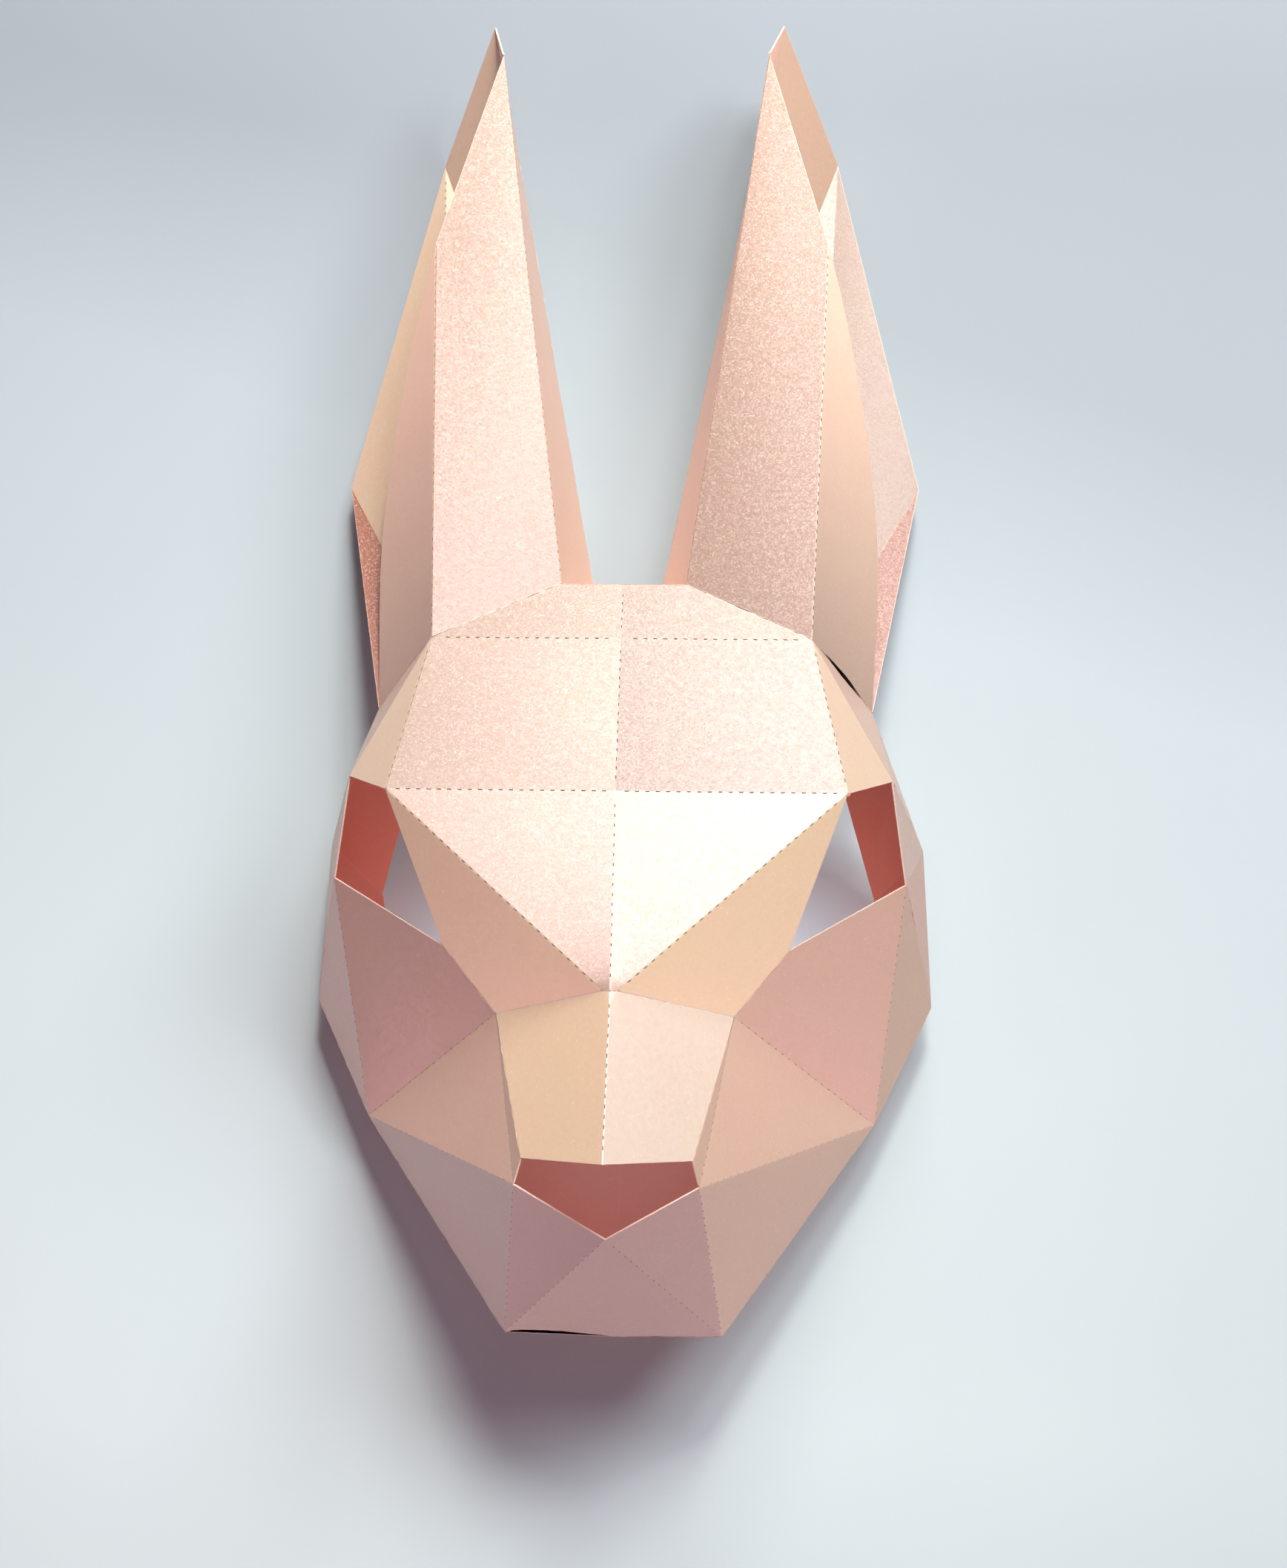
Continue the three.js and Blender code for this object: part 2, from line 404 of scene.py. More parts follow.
def smooth_curve(stops: Sequence[Array], count: int) -> Array:
    """Points evenly spaced along a centripetal Catmull-Rom curve.

    Args:
        stops: the points that the curve passes.
        count: how many points to return.

    Returns:
        The points, ends included.
    """
    stops = [2 * stops[0] - stops[1], *stops, 2 * stops[-1] - stops[-2]]
    dense: list[Array] = []
    for a, b, c, d in zip(stops, stops[1:], stops[2:], stops[3:]):
        knots = np.cumsum([0.0, *(math.sqrt(np.linalg.norm(q - p)) for p, q in ((a, b), (b, c), (c, d)))])
        for t in np.linspace(knots[1], knots[2], 40, endpoint=False):
            ab = a + (b - a) * (t - knots[0]) / (knots[1] - knots[0])
            bc = b + (c - b) * (t - knots[1]) / (knots[2] - knots[1])
            cd = c + (d - c) * (t - knots[2]) / (knots[3] - knots[2])
            left = ab + (bc - ab) * (t - knots[0]) / (knots[2] - knots[0])
            right = bc + (cd - bc) * (t - knots[1]) / (knots[3] - knots[1])
            dense.append(left + (right - left) * (t - knots[1]) / (knots[2] - knots[1]))
    dense.append(stops[-2])
    track = np.array(dense)
    travelled = np.concatenate(([0.0], np.cumsum(np.linalg.norm(np.diff(track, axis=0), axis=1))))
    wanted = np.linspace(0.0, travelled[-1], count)
    return np.stack([np.interp(wanted, travelled, track[:, axis]) for axis in range(3)], axis=1)


class BentPanel(Panel):
    """The flank of an ear: card bent between a straight fold and a curved free edge.

    Its corners are crown, ear foot and kink on the right side, and crown, kink and ear foot on the left.
    """

    def __init__(self, corners: list[str], fold: Array, rim: Array, tone: Array, fade: float) -> None:
        """Lays the flank out flat.

        Args:
            corners: its three corners, anticlockwise seen from outside.
            fold: points along the straight fold, from the crown to the kink.
            rim: as many points along the free edge, from the ear foot to the kink.
            tone: the painted light and shade of the coat half-way up.
            fade: how much lighter the coat is painted towards the kink, and darker towards the foot, as painted
                light and shade.
        """
        self.corners = corners
        self.tone = tone
        self.fade = fade
        self.fold = fold
        self.rim = rim
        self.mirrored = corners[2].startswith("ear_foot")
        self.steps = np.linspace(0.0, 1.0, len(fold))
        self.reach = np.linalg.norm(rim - fold, axis=1)
        self.length = float(np.linalg.norm(fold[-1] - fold[0]))
        self.widths = np.zeros(3)
        self.flat = self.arrange(np.array(((0.0, 0.0), (self.reach[0], 0.0), (0.0, self.length))))
        if self.mirrored:
            self.flat = self.flat[[0, 2, 1]]

    def painted_shadings(self, points: Array) -> Array:
        """The painted light and shade of the coat at flat points, painted lighter towards the kink."""
        share = np.clip(self.arrange(points)[:, 1] / self.length, 0.0, 1.0)
        return self.tone * (1.0 + self.fade * (share - 0.5))[:, None]

    def arrange(self, points: Array) -> Array:
        """Turns points of (across, along) into flat points that run anticlockwise, or back."""
        return points[:, ::-1] if self.mirrored else points

    def reach_at(self, along: Array) -> Array:
        """How wide the flank is at these distances along its fold."""
        return np.interp(along / self.length, self.steps, self.reach)

    def frame_of(self, depths: tuple[float, float, float]) -> tuple[Array, Array, Array]:
        """Finds the drawn-in corners at crown, ear foot and kink.

        Args:
            depths: how far in the fold, the rim and the seam are drawn.

        Returns:
            The three corners, as across and along.
        """
        in_fold, in_rim, in_seam = depths
        alongs = np.linspace(0.0, self.length, 2000)
        open_width = self.reach_at(alongs) - in_rim - in_fold
        kink_along = float(alongs[np.nonzero(open_width > 0)[0][-1]])
        foot = np.array((float(self.reach_at(np.array([in_seam]))[0]) - in_rim, in_seam))
        return np.array((in_fold, in_seam)), foot, np.array((in_fold, kink_along))

    def edge_kinds(self) -> tuple[int, int, int]:
        """The numbers of the fold's, the rim's and the seam's edge."""
        return (0, 1, 2) if self.mirrored else (2, 1, 0)

    def corner_at(self, corner: int, depth_in: float, depth_out: float) -> Array:
        """The flat corner where the edges before and after it meet, each drawn inwards.

        Args:
            corner: which corner.
            depth_in: how far the edge that ends there is drawn in.
            depth_out: how far the edge that starts there is drawn in.

        Returns:
            The flat point.
        """
        depths = np.zeros(3)
        depths[corner - 1] = depth_in
        depths[corner] = depth_out
        fold, rim, seam = self.edge_kinds()
        crown, foot, kink = self.frame_of((depths[fold], depths[rim], depths[seam]))
        order = (crown, kink, foot) if self.mirrored else (crown, foot, kink)
        return self.arrange(order[corner][None, :])[0]

    def edge_row(self, edge: int, shares: Array, depth: Array | float) -> Array:
        """Flat points along an edge.

        Args:
            edge: which edge.
            shares: how far along its inset run each point is, from 0 to 1.
            depth: how far in from the edge's line the points lie.

        Returns:
            The flat points.
        """
        fold, rim, seam = self.edge_kinds()
        widths = self.widths
        crown, foot, kink = self.frame_of((widths[fold], widths[rim], widths[seam]))
        depth = np.broadcast_to(np.asarray(depth, dtype=float), len(shares))
        if edge == fold:
            run = shares if self.mirrored else 1.0 - shares
            along = crown[1] + (kink[1] - crown[1]) * run
            return self.arrange(np.stack((depth, along), axis=1))
        if edge == rim:
            run = 1.0 - shares if self.mirrored else shares
            along = foot[1] + (kink[1] - foot[1]) * run
            return self.arrange(np.stack((self.reach_at(along) - depth, along), axis=1))
        run = 1.0 - shares if self.mirrored else shares
        across = crown[0] + (foot[0] - crown[0]) * run
        return self.arrange(np.stack((across, depth), axis=1))

    def surface(self, points: Array) -> Array:
        """Places flat points on the bent flank.

        Args:
            points: flat points.

        Returns:
            Their places in space.
        """
        spread = self.arrange(points)
        share = np.clip(spread[:, 1] / self.length, 0.0, 1.0)
        width = np.maximum(self.reach_at(spread[:, 1]), 1e-6)
        across = np.clip(spread[:, 0] / width, -0.2, 1.2)[:, None]
        fold = np.stack([np.interp(share, self.steps, self.fold[:, k]) for k in range(3)], axis=1)
        rim = np.stack([np.interp(share, self.steps, self.rim[:, k]) for k in range(3)], axis=1)
        return fold + (rim - fold) * across


# One sheet of card


@dataclass
class EdgeLook:
    """How a free edge is cut: the gap it leaves, where it gapes, and how ragged it is."""

    gap: float = 0.0
    gape: float = 0.0
    lean: float = 1.0
    blunt: float = 2.0
    toward: str = ""
    ragged: float = 0.0
    burr: float = 0.0


RIM_LOOK = EdgeLook(ragged=0.02 * MM)
SEAM_LOOK = EdgeLook(gap=0.08 * MM, ragged=0.07 * MM, burr=0.1 * MM)
EDGE_BAND = 0.42 * MM
FREE_STEP = 1.6 * MM
SOFT_STEP = 6.0 * MM
# Corners where several folds meet in a small sunk hole, painted dark as shade.
PRICKED = ("brow_left", "brow_right", "nose_side", "bridge")
PRICK_DEPTH = 0.3 * MM
# Inner points of a facet: a grid of equal triangles that stays clear of the facet's rim.
GRID = 7.0 * MM
ROW_SHARE = 0.866
CLEAR_SHARE = 0.45


@dataclass
class SheetPlan:
    """What one sheet is made of: its panels, and the looks of its free edges."""

    name: str
    panels: list[Panel]
    looks: dict[frozenset[str], EdgeLook] = field(default_factory=dict)


class SheetBuilder:
    """Builds one sheet of card as a closed thin mesh with rounded folds, cuts and walls."""

    # Where the points across a rounded fold lie, as shares of its width.
    CROSS = (0.14, 0.34, 0.5, 0.66, 0.86)

    def __init__(self, plan: SheetPlan, corners: Corners, creases: dict[frozenset[str], Crease],
                 card: float, seed: int) -> None:
        """Prepares the sheet.

        Args:
            plan: the sheet's panels.
            corners: where the corners are.
            creases: how each fold is prepared; a fold that isn't named is soft.
            card: the card's thickness.
            seed: what the ragged edges start from.
        """
        self.plan = plan
        self.corners = corners
        self.creases = creases
        self.card = card
        self.random = np.random.default_rng(seed)
        self.points: list[Array] = []
        self.normals: list[Array] = []
        self.pushes: list[float] = []
        self.marks: dict[str, list[float]] = {"fold": [], "edge": [], "cut": []}
        self.painted_shadings: list[Array] = []
        self.faces: list[tuple[int, ...]] = []
        self.groove_faces: set[int] = set()
        self.owner: dict[tuple[str, str], tuple[int, int]] = {}
        for number, panel in enumerate(plan.panels):
            for edge, corner in enumerate(panel.corners):
                self.owner[corner, self.next_corner(panel, edge)] = (number, edge)

    @staticmethod
    def next_corner(panel: Panel, edge: int) -> str:
        """The corner at which an edge ends."""
        return panel.corners[(edge + 1) % len(panel.corners)]

    def twin(self, number: int, edge: int) -> tuple[int, int] | None:
        """The panel and edge on the other side of a fold, or None at a free edge."""
        panel = self.plan.panels[number]
        return self.owner.get((self.next_corner(panel, edge), panel.corners[edge]))

    def style(self, number: int, edge: int) -> CreaseStyle:
        """Finds the sizes of the fold along an edge.

        Args:
            number: which panel.
            edge: which of its edges.

        Returns:
            The fold's style.
        """
        panel = self.plan.panels[number]
        key = frozenset((panel.corners[edge], self.next_corner(panel, edge)))
        return CREASES[self.creases.get(key, Crease.SOFT)]

    def look(self, number: int, edge: int) -> EdgeLook:
        """Finds the look of a free edge.

        Args:
            number: which panel.
            edge: which of its edges.

        Returns:
            Its look, a plain rim's where none is set.
        """
        panel = self.plan.panels[number]
        key = frozenset((panel.corners[edge], self.next_corner(panel, edge)))
        return self.plan.looks.get(key, RIM_LOOK)

    def add(self, point: Array, normal: Array, fold: float = 0.0, edge: float = 0.0,
            cut: float = 0.0, push: float = 0.0, tone: Array = PLAIN) -> int:
        """Adds a point of the outer skin.

        Args:
            point: its place.
            normal: the surface's normal there.
            fold: how much it belongs to a crease, whose crest is painted pale.
            edge: how much it belongs to a cut edge, which is painted pale.
            cut: how much it lies in a perforation, whose slot is painted dark as shade.
            push: how far the perforation sinks it.
            tone: the painted light and shade of the card's coat there.

        Returns:
            Its number.
        """
        self.points.append(point)
        self.normals.append(normal)
        self.pushes.append(push)
        self.painted_shadings.append(tone)
        for mark, value in (("fold", fold), ("edge", edge), ("cut", cut)):
            self.marks[mark].append(value)
        return len(self.points) - 1

    def stations(self, number: int, edge: int) -> tuple[Array, Array]:
        """Where the points along an edge lie.

        Args:
            number: which panel.
            edge: which of its edges.

        Returns:
            Shares along the edge from 0 to 1, and 1 where a perforation is deep.
        """
        panel = self.plan.panels[number]
        start = self.corners.at(panel.corners[edge])
        length = float(np.linalg.norm(self.corners.at(self.next_corner(panel, edge)) - start))
        if self.twin(number, edge) is None:
            count = max(3, round(length / FREE_STEP))
            return np.linspace(0.0, 1.0, count), np.zeros(count)
        style = self.style(number, edge)
        if not style.pitch:
            count = max(3, round(length / SOFT_STEP))
            return np.linspace(0.0, 1.0, count), np.zeros(count)
        dashes = int((length - 2 * style.margin) / style.pitch)
        first = (length - dashes * style.pitch) / 2 + style.pitch / 2
        places = [0.0]
        deep = [0.0]
        for dash in range(dashes):
            middle = first + dash * style.pitch
            half = style.dash / 2
            places += [middle - half, middle - half + style.ramp, middle + half - style.ramp, middle + half]
            deep += [0.0, 1.0, 1.0, 0.0]
        return np.array([*places, length]) / length, np.array([*deep, 0.0])

    def fill_panel(self, number: int) -> dict[int, list[int]]:
        """Meshes the inside of a panel.

        Args:
            number: which panel.

        Returns:
            For each edge the numbers of the points along it, both ends included.
        """
        panel = self.plan.panels[number]
        rows = []
        for edge in range(len(panel.corners)):
            shares, _ = self.shares[number, edge]
            rows.append(panel.edge_row(edge, shares, panel.widths[edge]))
        loop = np.vstack([row[:-1] for row in rows])
        low, high = loop.min(axis=0), loop.max(axis=0)
        inner = []
        for j in range(int((high[1] - low[1]) / (GRID * ROW_SHARE)) + 2):
            for i in range(int((high[0] - low[0]) / GRID) + 2):
                spot = low + (GRID * (i + 0.5 * (j % 2)), GRID * ROW_SHARE * j)
                if self.clearance(spot, loop) > GRID * CLEAR_SHARE:
                    inner.append(spot)
        flat = np.vstack((loop, inner)) if inner else loop
        base = len(self.points)
        places, normals = panel.lift(flat)
        for place, normal, tone in zip(places, normals, panel.painted_shadings(flat)):
            self.add(place, normal, tone=tone)
        vectors = [Vector(spot / MM) for spot in flat]
        found = delaunay_2d_cdt(vectors, [], [list(range(len(loop)))], 1, 1e-5)
        for triangle in found[2]:
            originals = [found[3][k][0] for k in triangle]
            self.faces.append(tuple(base + k for k in originals))
        numbered: dict[int, list[int]] = {}
        start = 0
        for edge, row in enumerate(rows):
            run = [base + (start + k) % len(loop) for k in range(len(row))]
            numbered[edge] = run
            start += len(row) - 1
        return numbered

    @staticmethod
    def clearance(spot: Array, loop: Array) -> float:
        """How far inside a loop a spot is, or a negative number outside it.

        Args:
            spot: a flat point.
            loop: the loop's flat points.

        Returns:
            The distance to the loop.
        """
        following = np.roll(loop, -1, axis=0)
        run = following - loop
        share = np.clip(((spot - loop) * run).sum(axis=1) / np.maximum((run * run).sum(axis=1), 1e-18), 0, 1)
        distance = float(np.linalg.norm(loop + run * share[:, None] - spot, axis=1).min())
        crosses = (loop[:, 1] > spot[1]) != (following[:, 1] > spot[1])
        with np.errstate(divide="ignore", invalid="ignore"):
            meets = loop[:, 0] + (spot[1] - loop[:, 1]) / run[:, 1] * run[:, 0]
        inside = np.count_nonzero(crosses & (spot[0] < meets)) % 2 == 1
        return distance if inside else -distance

    def build_fold(self, number: int, edge: int) -> None:
        """Rounds the card over from one panel to the next, with the perforation in the crease.

        Args:
            number: the first panel.
            edge: its edge at the fold.
        """
        other, other_edge = self.twin(number, edge)
        near, far = self.plan.panels[number], self.plan.panels[other]
        shares, deep = self.shares[number, edge]
        style = self.style(number, edge)
        near_ids = self.rows[number][edge]
        far_ids = self.rows[other][other_edge][::-1]
        ridge_near = near.surface(near.edge_row(edge, shares, 0.0))
        ridge_far = far.surface(far.edge_row(other_edge, (1.0 - shares)[::-1], 0.0)[::-1])
        ridge = (ridge_near + ridge_far) / 2
        columns = []
        for k, (a, b) in enumerate(zip(near_ids, far_ids)):
            column = [a]
            for s in self.CROSS:
                place = (1 - s) ** 2 * self.points[a] + 2 * s * (1 - s) * ridge[k] + s * s * self.points[b]
                blend = s * s * (3 - 2 * s)
                normal = unit(self.normals[a] * (1 - blend) + self.normals[b] * blend)
                middle = s == 0.5
                sunk = float(deep[k]) if middle else 0.0
                crest = 1.0 - abs(s - 0.5) * 2
                # The slot is painted dark as shade, most along its middle row.
                cut = float(deep[k]) * style.dark * (1.0 if middle else 0.6) if 0.3 < s < 0.7 else 0.0
                tone = self.painted_shadings[a] if s < 0.5 else self.painted_shadings[b]
                column.append(self.add(place, normal, fold=crest, cut=cut, push=sunk * style.depth, tone=tone))
            columns.append([*column, b])
        self.ends[number, edge] = (columns[0], columns[-1])
        for k in range(len(columns) - 1):
            grooved = deep[k] > 0 or deep[k + 1] > 0
            for m in range(len(columns[0]) - 1):
                if grooved and 2 <= m <= 3:
                    self.groove_faces.add(len(self.faces))
                self.faces.append((columns[k][m], columns[k][m + 1], columns[k + 1][m + 1], columns[k + 1][m]))

    def build_border(self, number: int, edge: int) -> None:
        """Carries a panel out to its cut edge, with the edge's gap and raggedness.

        Args:
            number: the panel.
            edge: its free edge.
        """
        panel = self.plan.panels[number]
        look = self.look(number, edge)
        shares, _ = self.shares[number, edge]
        run = shares if panel.corners[edge] != look.toward else 1.0 - shares
        wave = np.sin(math.pi * shares)
        swell = np.sin(math.pi * run**look.lean).clip(0.0) ** look.blunt
        noise = self.random.normal(0.0, 1.0, len(shares))
        noise[0] = noise[-1] = 0.0
        depth = look.gap + look.gape * swell + look.ragged * noise
        places, normals = panel.lift(panel.edge_row(edge, shares, depth))
        lift = look.burr * np.abs(self.random.normal(0.0, 1.0, len(shares))) * (wave > 1e-6)
        places = places + normals * lift[:, None]
        inner_ids = self.rows[number][edge]
        outer_ids = [
            self.add(place, self.normals[inner_ids[k]], edge=1.0, tone=self.painted_shadings[inner_ids[k]])
            for k, place in enumerate(places)
        ]
        self.borders[number, edge] = outer_ids
        for k in range(len(shares) - 1):
            self.faces.append((inner_ids[k], outer_ids[k], outer_ids[k + 1], inner_ids[k + 1]))

    def build_corner(self, name: str) -> None:
        """Closes the small patch around a corner.

        Args:
            name: which corner.
        """
        around = [(n, p.corners.index(name)) for n, p in enumerate(self.plan.panels) if name in p.corners]
        opens = [(n, c) for n, c in around if self.twin(n, c) is None]
        starts = opens or around[:1]
        for start in starts:
            self.close_corner(name, start, closed=not opens)

    def close_corner(self, name: str, start: tuple[int, int], closed: bool) -> None:
        """Fans out from a corner over its ring of points.

        Args:
            name: the corner.
            start: the first panel of the ring and the corner's number in it.
            closed: whether the ring goes all the way round.
        """
        ring: list[int] = []
        number, corner = start
        centres: list[Array] = []
        if not closed:
            ring.append(self.borders[number, corner][0])
            centres.append(self.open_corner(number, corner))
        while True:
            ring.append(self.rows[number][corner][0])
            before = (corner - 1) % len(self.plan.panels[number].corners)
            across = self.twin(number, before)
            if across is None:
                ring.append(self.borders[number, before][-1])
                centres.append(self.open_corner(number, corner))
                break
            ring += self.fold_end(number, before)[1:-1]
            number, corner = across
            if (number, corner) == start:
                break
        normal = unit(np.mean([self.normals[k] for k in ring], axis=0))
        if closed:
            centre = 0.7 * self.corners.at(name) + 0.3 * np.mean([self.points[k] for k in ring], axis=0)
        else:
            centre = np.mean(centres, axis=0)
        pricked = any(name.startswith(start) for start in PRICKED)
        tone = np.mean([self.painted_shadings[k] for k in ring], axis=0)
        hub = self.add(centre, normal, 0.6 if closed else 0.3, 0.0 if closed else 1.0, 1.0 if pricked else 0.0,
                       PRICK_DEPTH if pricked else 0.0, tone)
        links = list(zip(ring, ring[1:])) + ([(ring[-1], ring[0])] if closed else [])
        for a, b in links:
            self.faces.append((hub, a, b))

    def open_corner(self, number: int, corner: int) -> Array:
        """Places a panel's own corner once its free edges leave their gaps.

        Args:
            number: which panel.
            corner: which of its corners.

        Returns:
            The corner's place in space.
        """
        panel = self.plan.panels[number]
        before = (corner - 1) % len(panel.corners)
        depth_in = 0.0 if self.twin(number, before) else self.look(number, before).gap
        depth_out = 0.0 if self.twin(number, corner) else self.look(number, corner).gap
        return panel.surface(panel.corner_at(corner, depth_in, depth_out)[None, :])[0]

    def fold_end(self, number: int, edge: int) -> list[int]:
        """Finds the row of points across a fold where a panel's edge ends.

        Args:
            number: which panel.
            edge: its edge at the fold.

        Returns:
            The points' numbers, from the panel's own side over.
        """
        if (number, edge) in self.ends:
            return self.ends[number, edge][1]
        other, other_edge = self.twin(number, edge)
        return self.ends[other, other_edge][0][::-1]

    def build(self) -> None:
        """Meshes the outer skin: panels, folds, borders and corners."""
        self.shares: dict[tuple[int, int], tuple[Array, Array]] = {}
        self.ends: dict[tuple[int, int], tuple[list[int], list[int]]] = {}
        self.borders: dict[tuple[int, int], list[int]] = {}
        for number, panel in enumerate(self.plan.panels):
            for edge in range(len(panel.corners)):
                across = self.twin(number, edge)
                free = self.look(number, edge).gap + EDGE_BAND
                panel.widths[edge] = free if across is None else self.style(number, edge).half_width
                if across in self.shares:
                    shares, deep = self.shares[across]
                    self.shares[number, edge] = ((1.0 - shares)[::-1], deep[::-1])
                else:
                    self.shares[number, edge] = self.stations(number, edge)
        self.rows = {number: self.fill_panel(number) for number in range(len(self.plan.panels))}
        for number, panel in enumerate(self.plan.panels):
            for edge in range(len(panel.corners)):
                across = self.twin(number, edge)
                if across is None:
                    self.build_border(number, edge)
                elif across > (number, edge):
                    self.build_fold(number, edge)
        for name in dict.fromkeys(corner for panel in self.plan.panels for corner in panel.corners):
            self.build_corner(name)

    def free_edges(self) -> list[tuple[int, int]]:
        """The directed edges that only one face has."""
        directed = {(a, b) for face in self.faces for a, b in zip(face, face[1:] + face[:1])}
        return [(a, b) for a, b in directed if (b, a) not in directed]

    def to_object(self, outside: bpy.types.Material, inside: bpy.types.Material,
                  edge: bpy.types.Material) -> bpy.types.Object:
        """Gives the sheet its thickness and makes it an object.

        Args:
            outside: the material of the outer face.
            inside: the material of the inner face.
            edge: the material of the cut edges.

        Returns:
            The sheet's object.
        """
        base = np.array(self.points)
        normals = np.array(self.normals)
        outer = base - normals * np.array(self.pushes)[:, None]
        inner = base - normals * self.card
        count = len(base)
        walls = [(b, a, a + count, b + count) for a, b in sorted(self.free_edges())]
        back = [tuple(k + count for k in reversed(face)) for face in self.faces]
        faces = [*self.faces, *back, *walls]
        mesh = bpy.data.meshes.new(self.plan.name)
        mesh.from_pydata(np.vstack((outer, inner)).tolist(), [], faces)
        for material in (outside, inside, edge):
            mesh.materials.append(material)
        kinds = [0] * len(self.faces) + [1] * len(back) + [2] * len(walls)
        mesh.polygons.foreach_set("material_index", kinds)
        mesh.polygons.foreach_set("use_smooth", [True] * len(faces))
        # Each point's painted light and shade, which the coat's material multiplies in.
        painted_shadings = mesh.attributes.new("tone", "FLOAT_COLOR", "POINT")
        shades = np.ones((2 * count, 4))
        shades[:, :3] = np.vstack((self.painted_shadings, self.painted_shadings))
        painted_shadings.data.foreach_set("color", shades.ravel())
        for mark, values in self.marks.items():
            layer = mesh.attributes.new(mark, "FLOAT", "POINT")
            layer.data.foreach_set("value", values + values)
        self.set_normals(mesh, normals, len(back), count)
        return bpy.data.objects.new(self.plan.name, mesh)

    def set_normals(self, mesh: bpy.types.Mesh, normals: Array, skins: int, count: int) -> None:
        """Keeps panels flat and folds round in the shading.

        Args:
            mesh: the sheet's mesh.
            normals: the outer skin's normals.
            skins: how many faces each skin has.
            count: how many points each skin has.
        """
        mesh.update()
        loops = np.zeros((len(mesh.loops), 3))
        for number, polygon in enumerate(mesh.polygons):
            flat = number in self.groove_faces or number >= 2 * skins
            for loop in polygon.loop_indices:
                vertex = mesh.loops[loop].vertex_index
                if flat:
                    loops[loop] = polygon.normal
                elif vertex < count:
                    loops[loop] = normals[vertex]
                else:
                    loops[loop] = -normals[vertex - count]
        mesh.normals_split_custom_set(loops.tolist())


# The mask's sheets


class Span(Enum):
    """Whether a sheet crosses the middle line or is made twice."""

    BOTH = "both"
    PAIR = "pair"


@dataclass(frozen=True)
class SheetCut:
    """How a sheet is cut, with its facets' bow and their painted light and shade.

    A facet is a row of corner names, anticlockwise seen from outside on the right side.
    """

    name: str
    span: Span
    facets: tuple[tuple[str, ...], ...]
    centre: tuple[tuple[str, ...], ...] = ()
    centre_painted_shading: PaintedShading = PaintedShading()
    bows: dict[int, float] = field(default_factory=dict)
    painted_shadings: dict[int, PaintedShading] = field(default_factory=dict)
    flank: PaintedShading | None = None


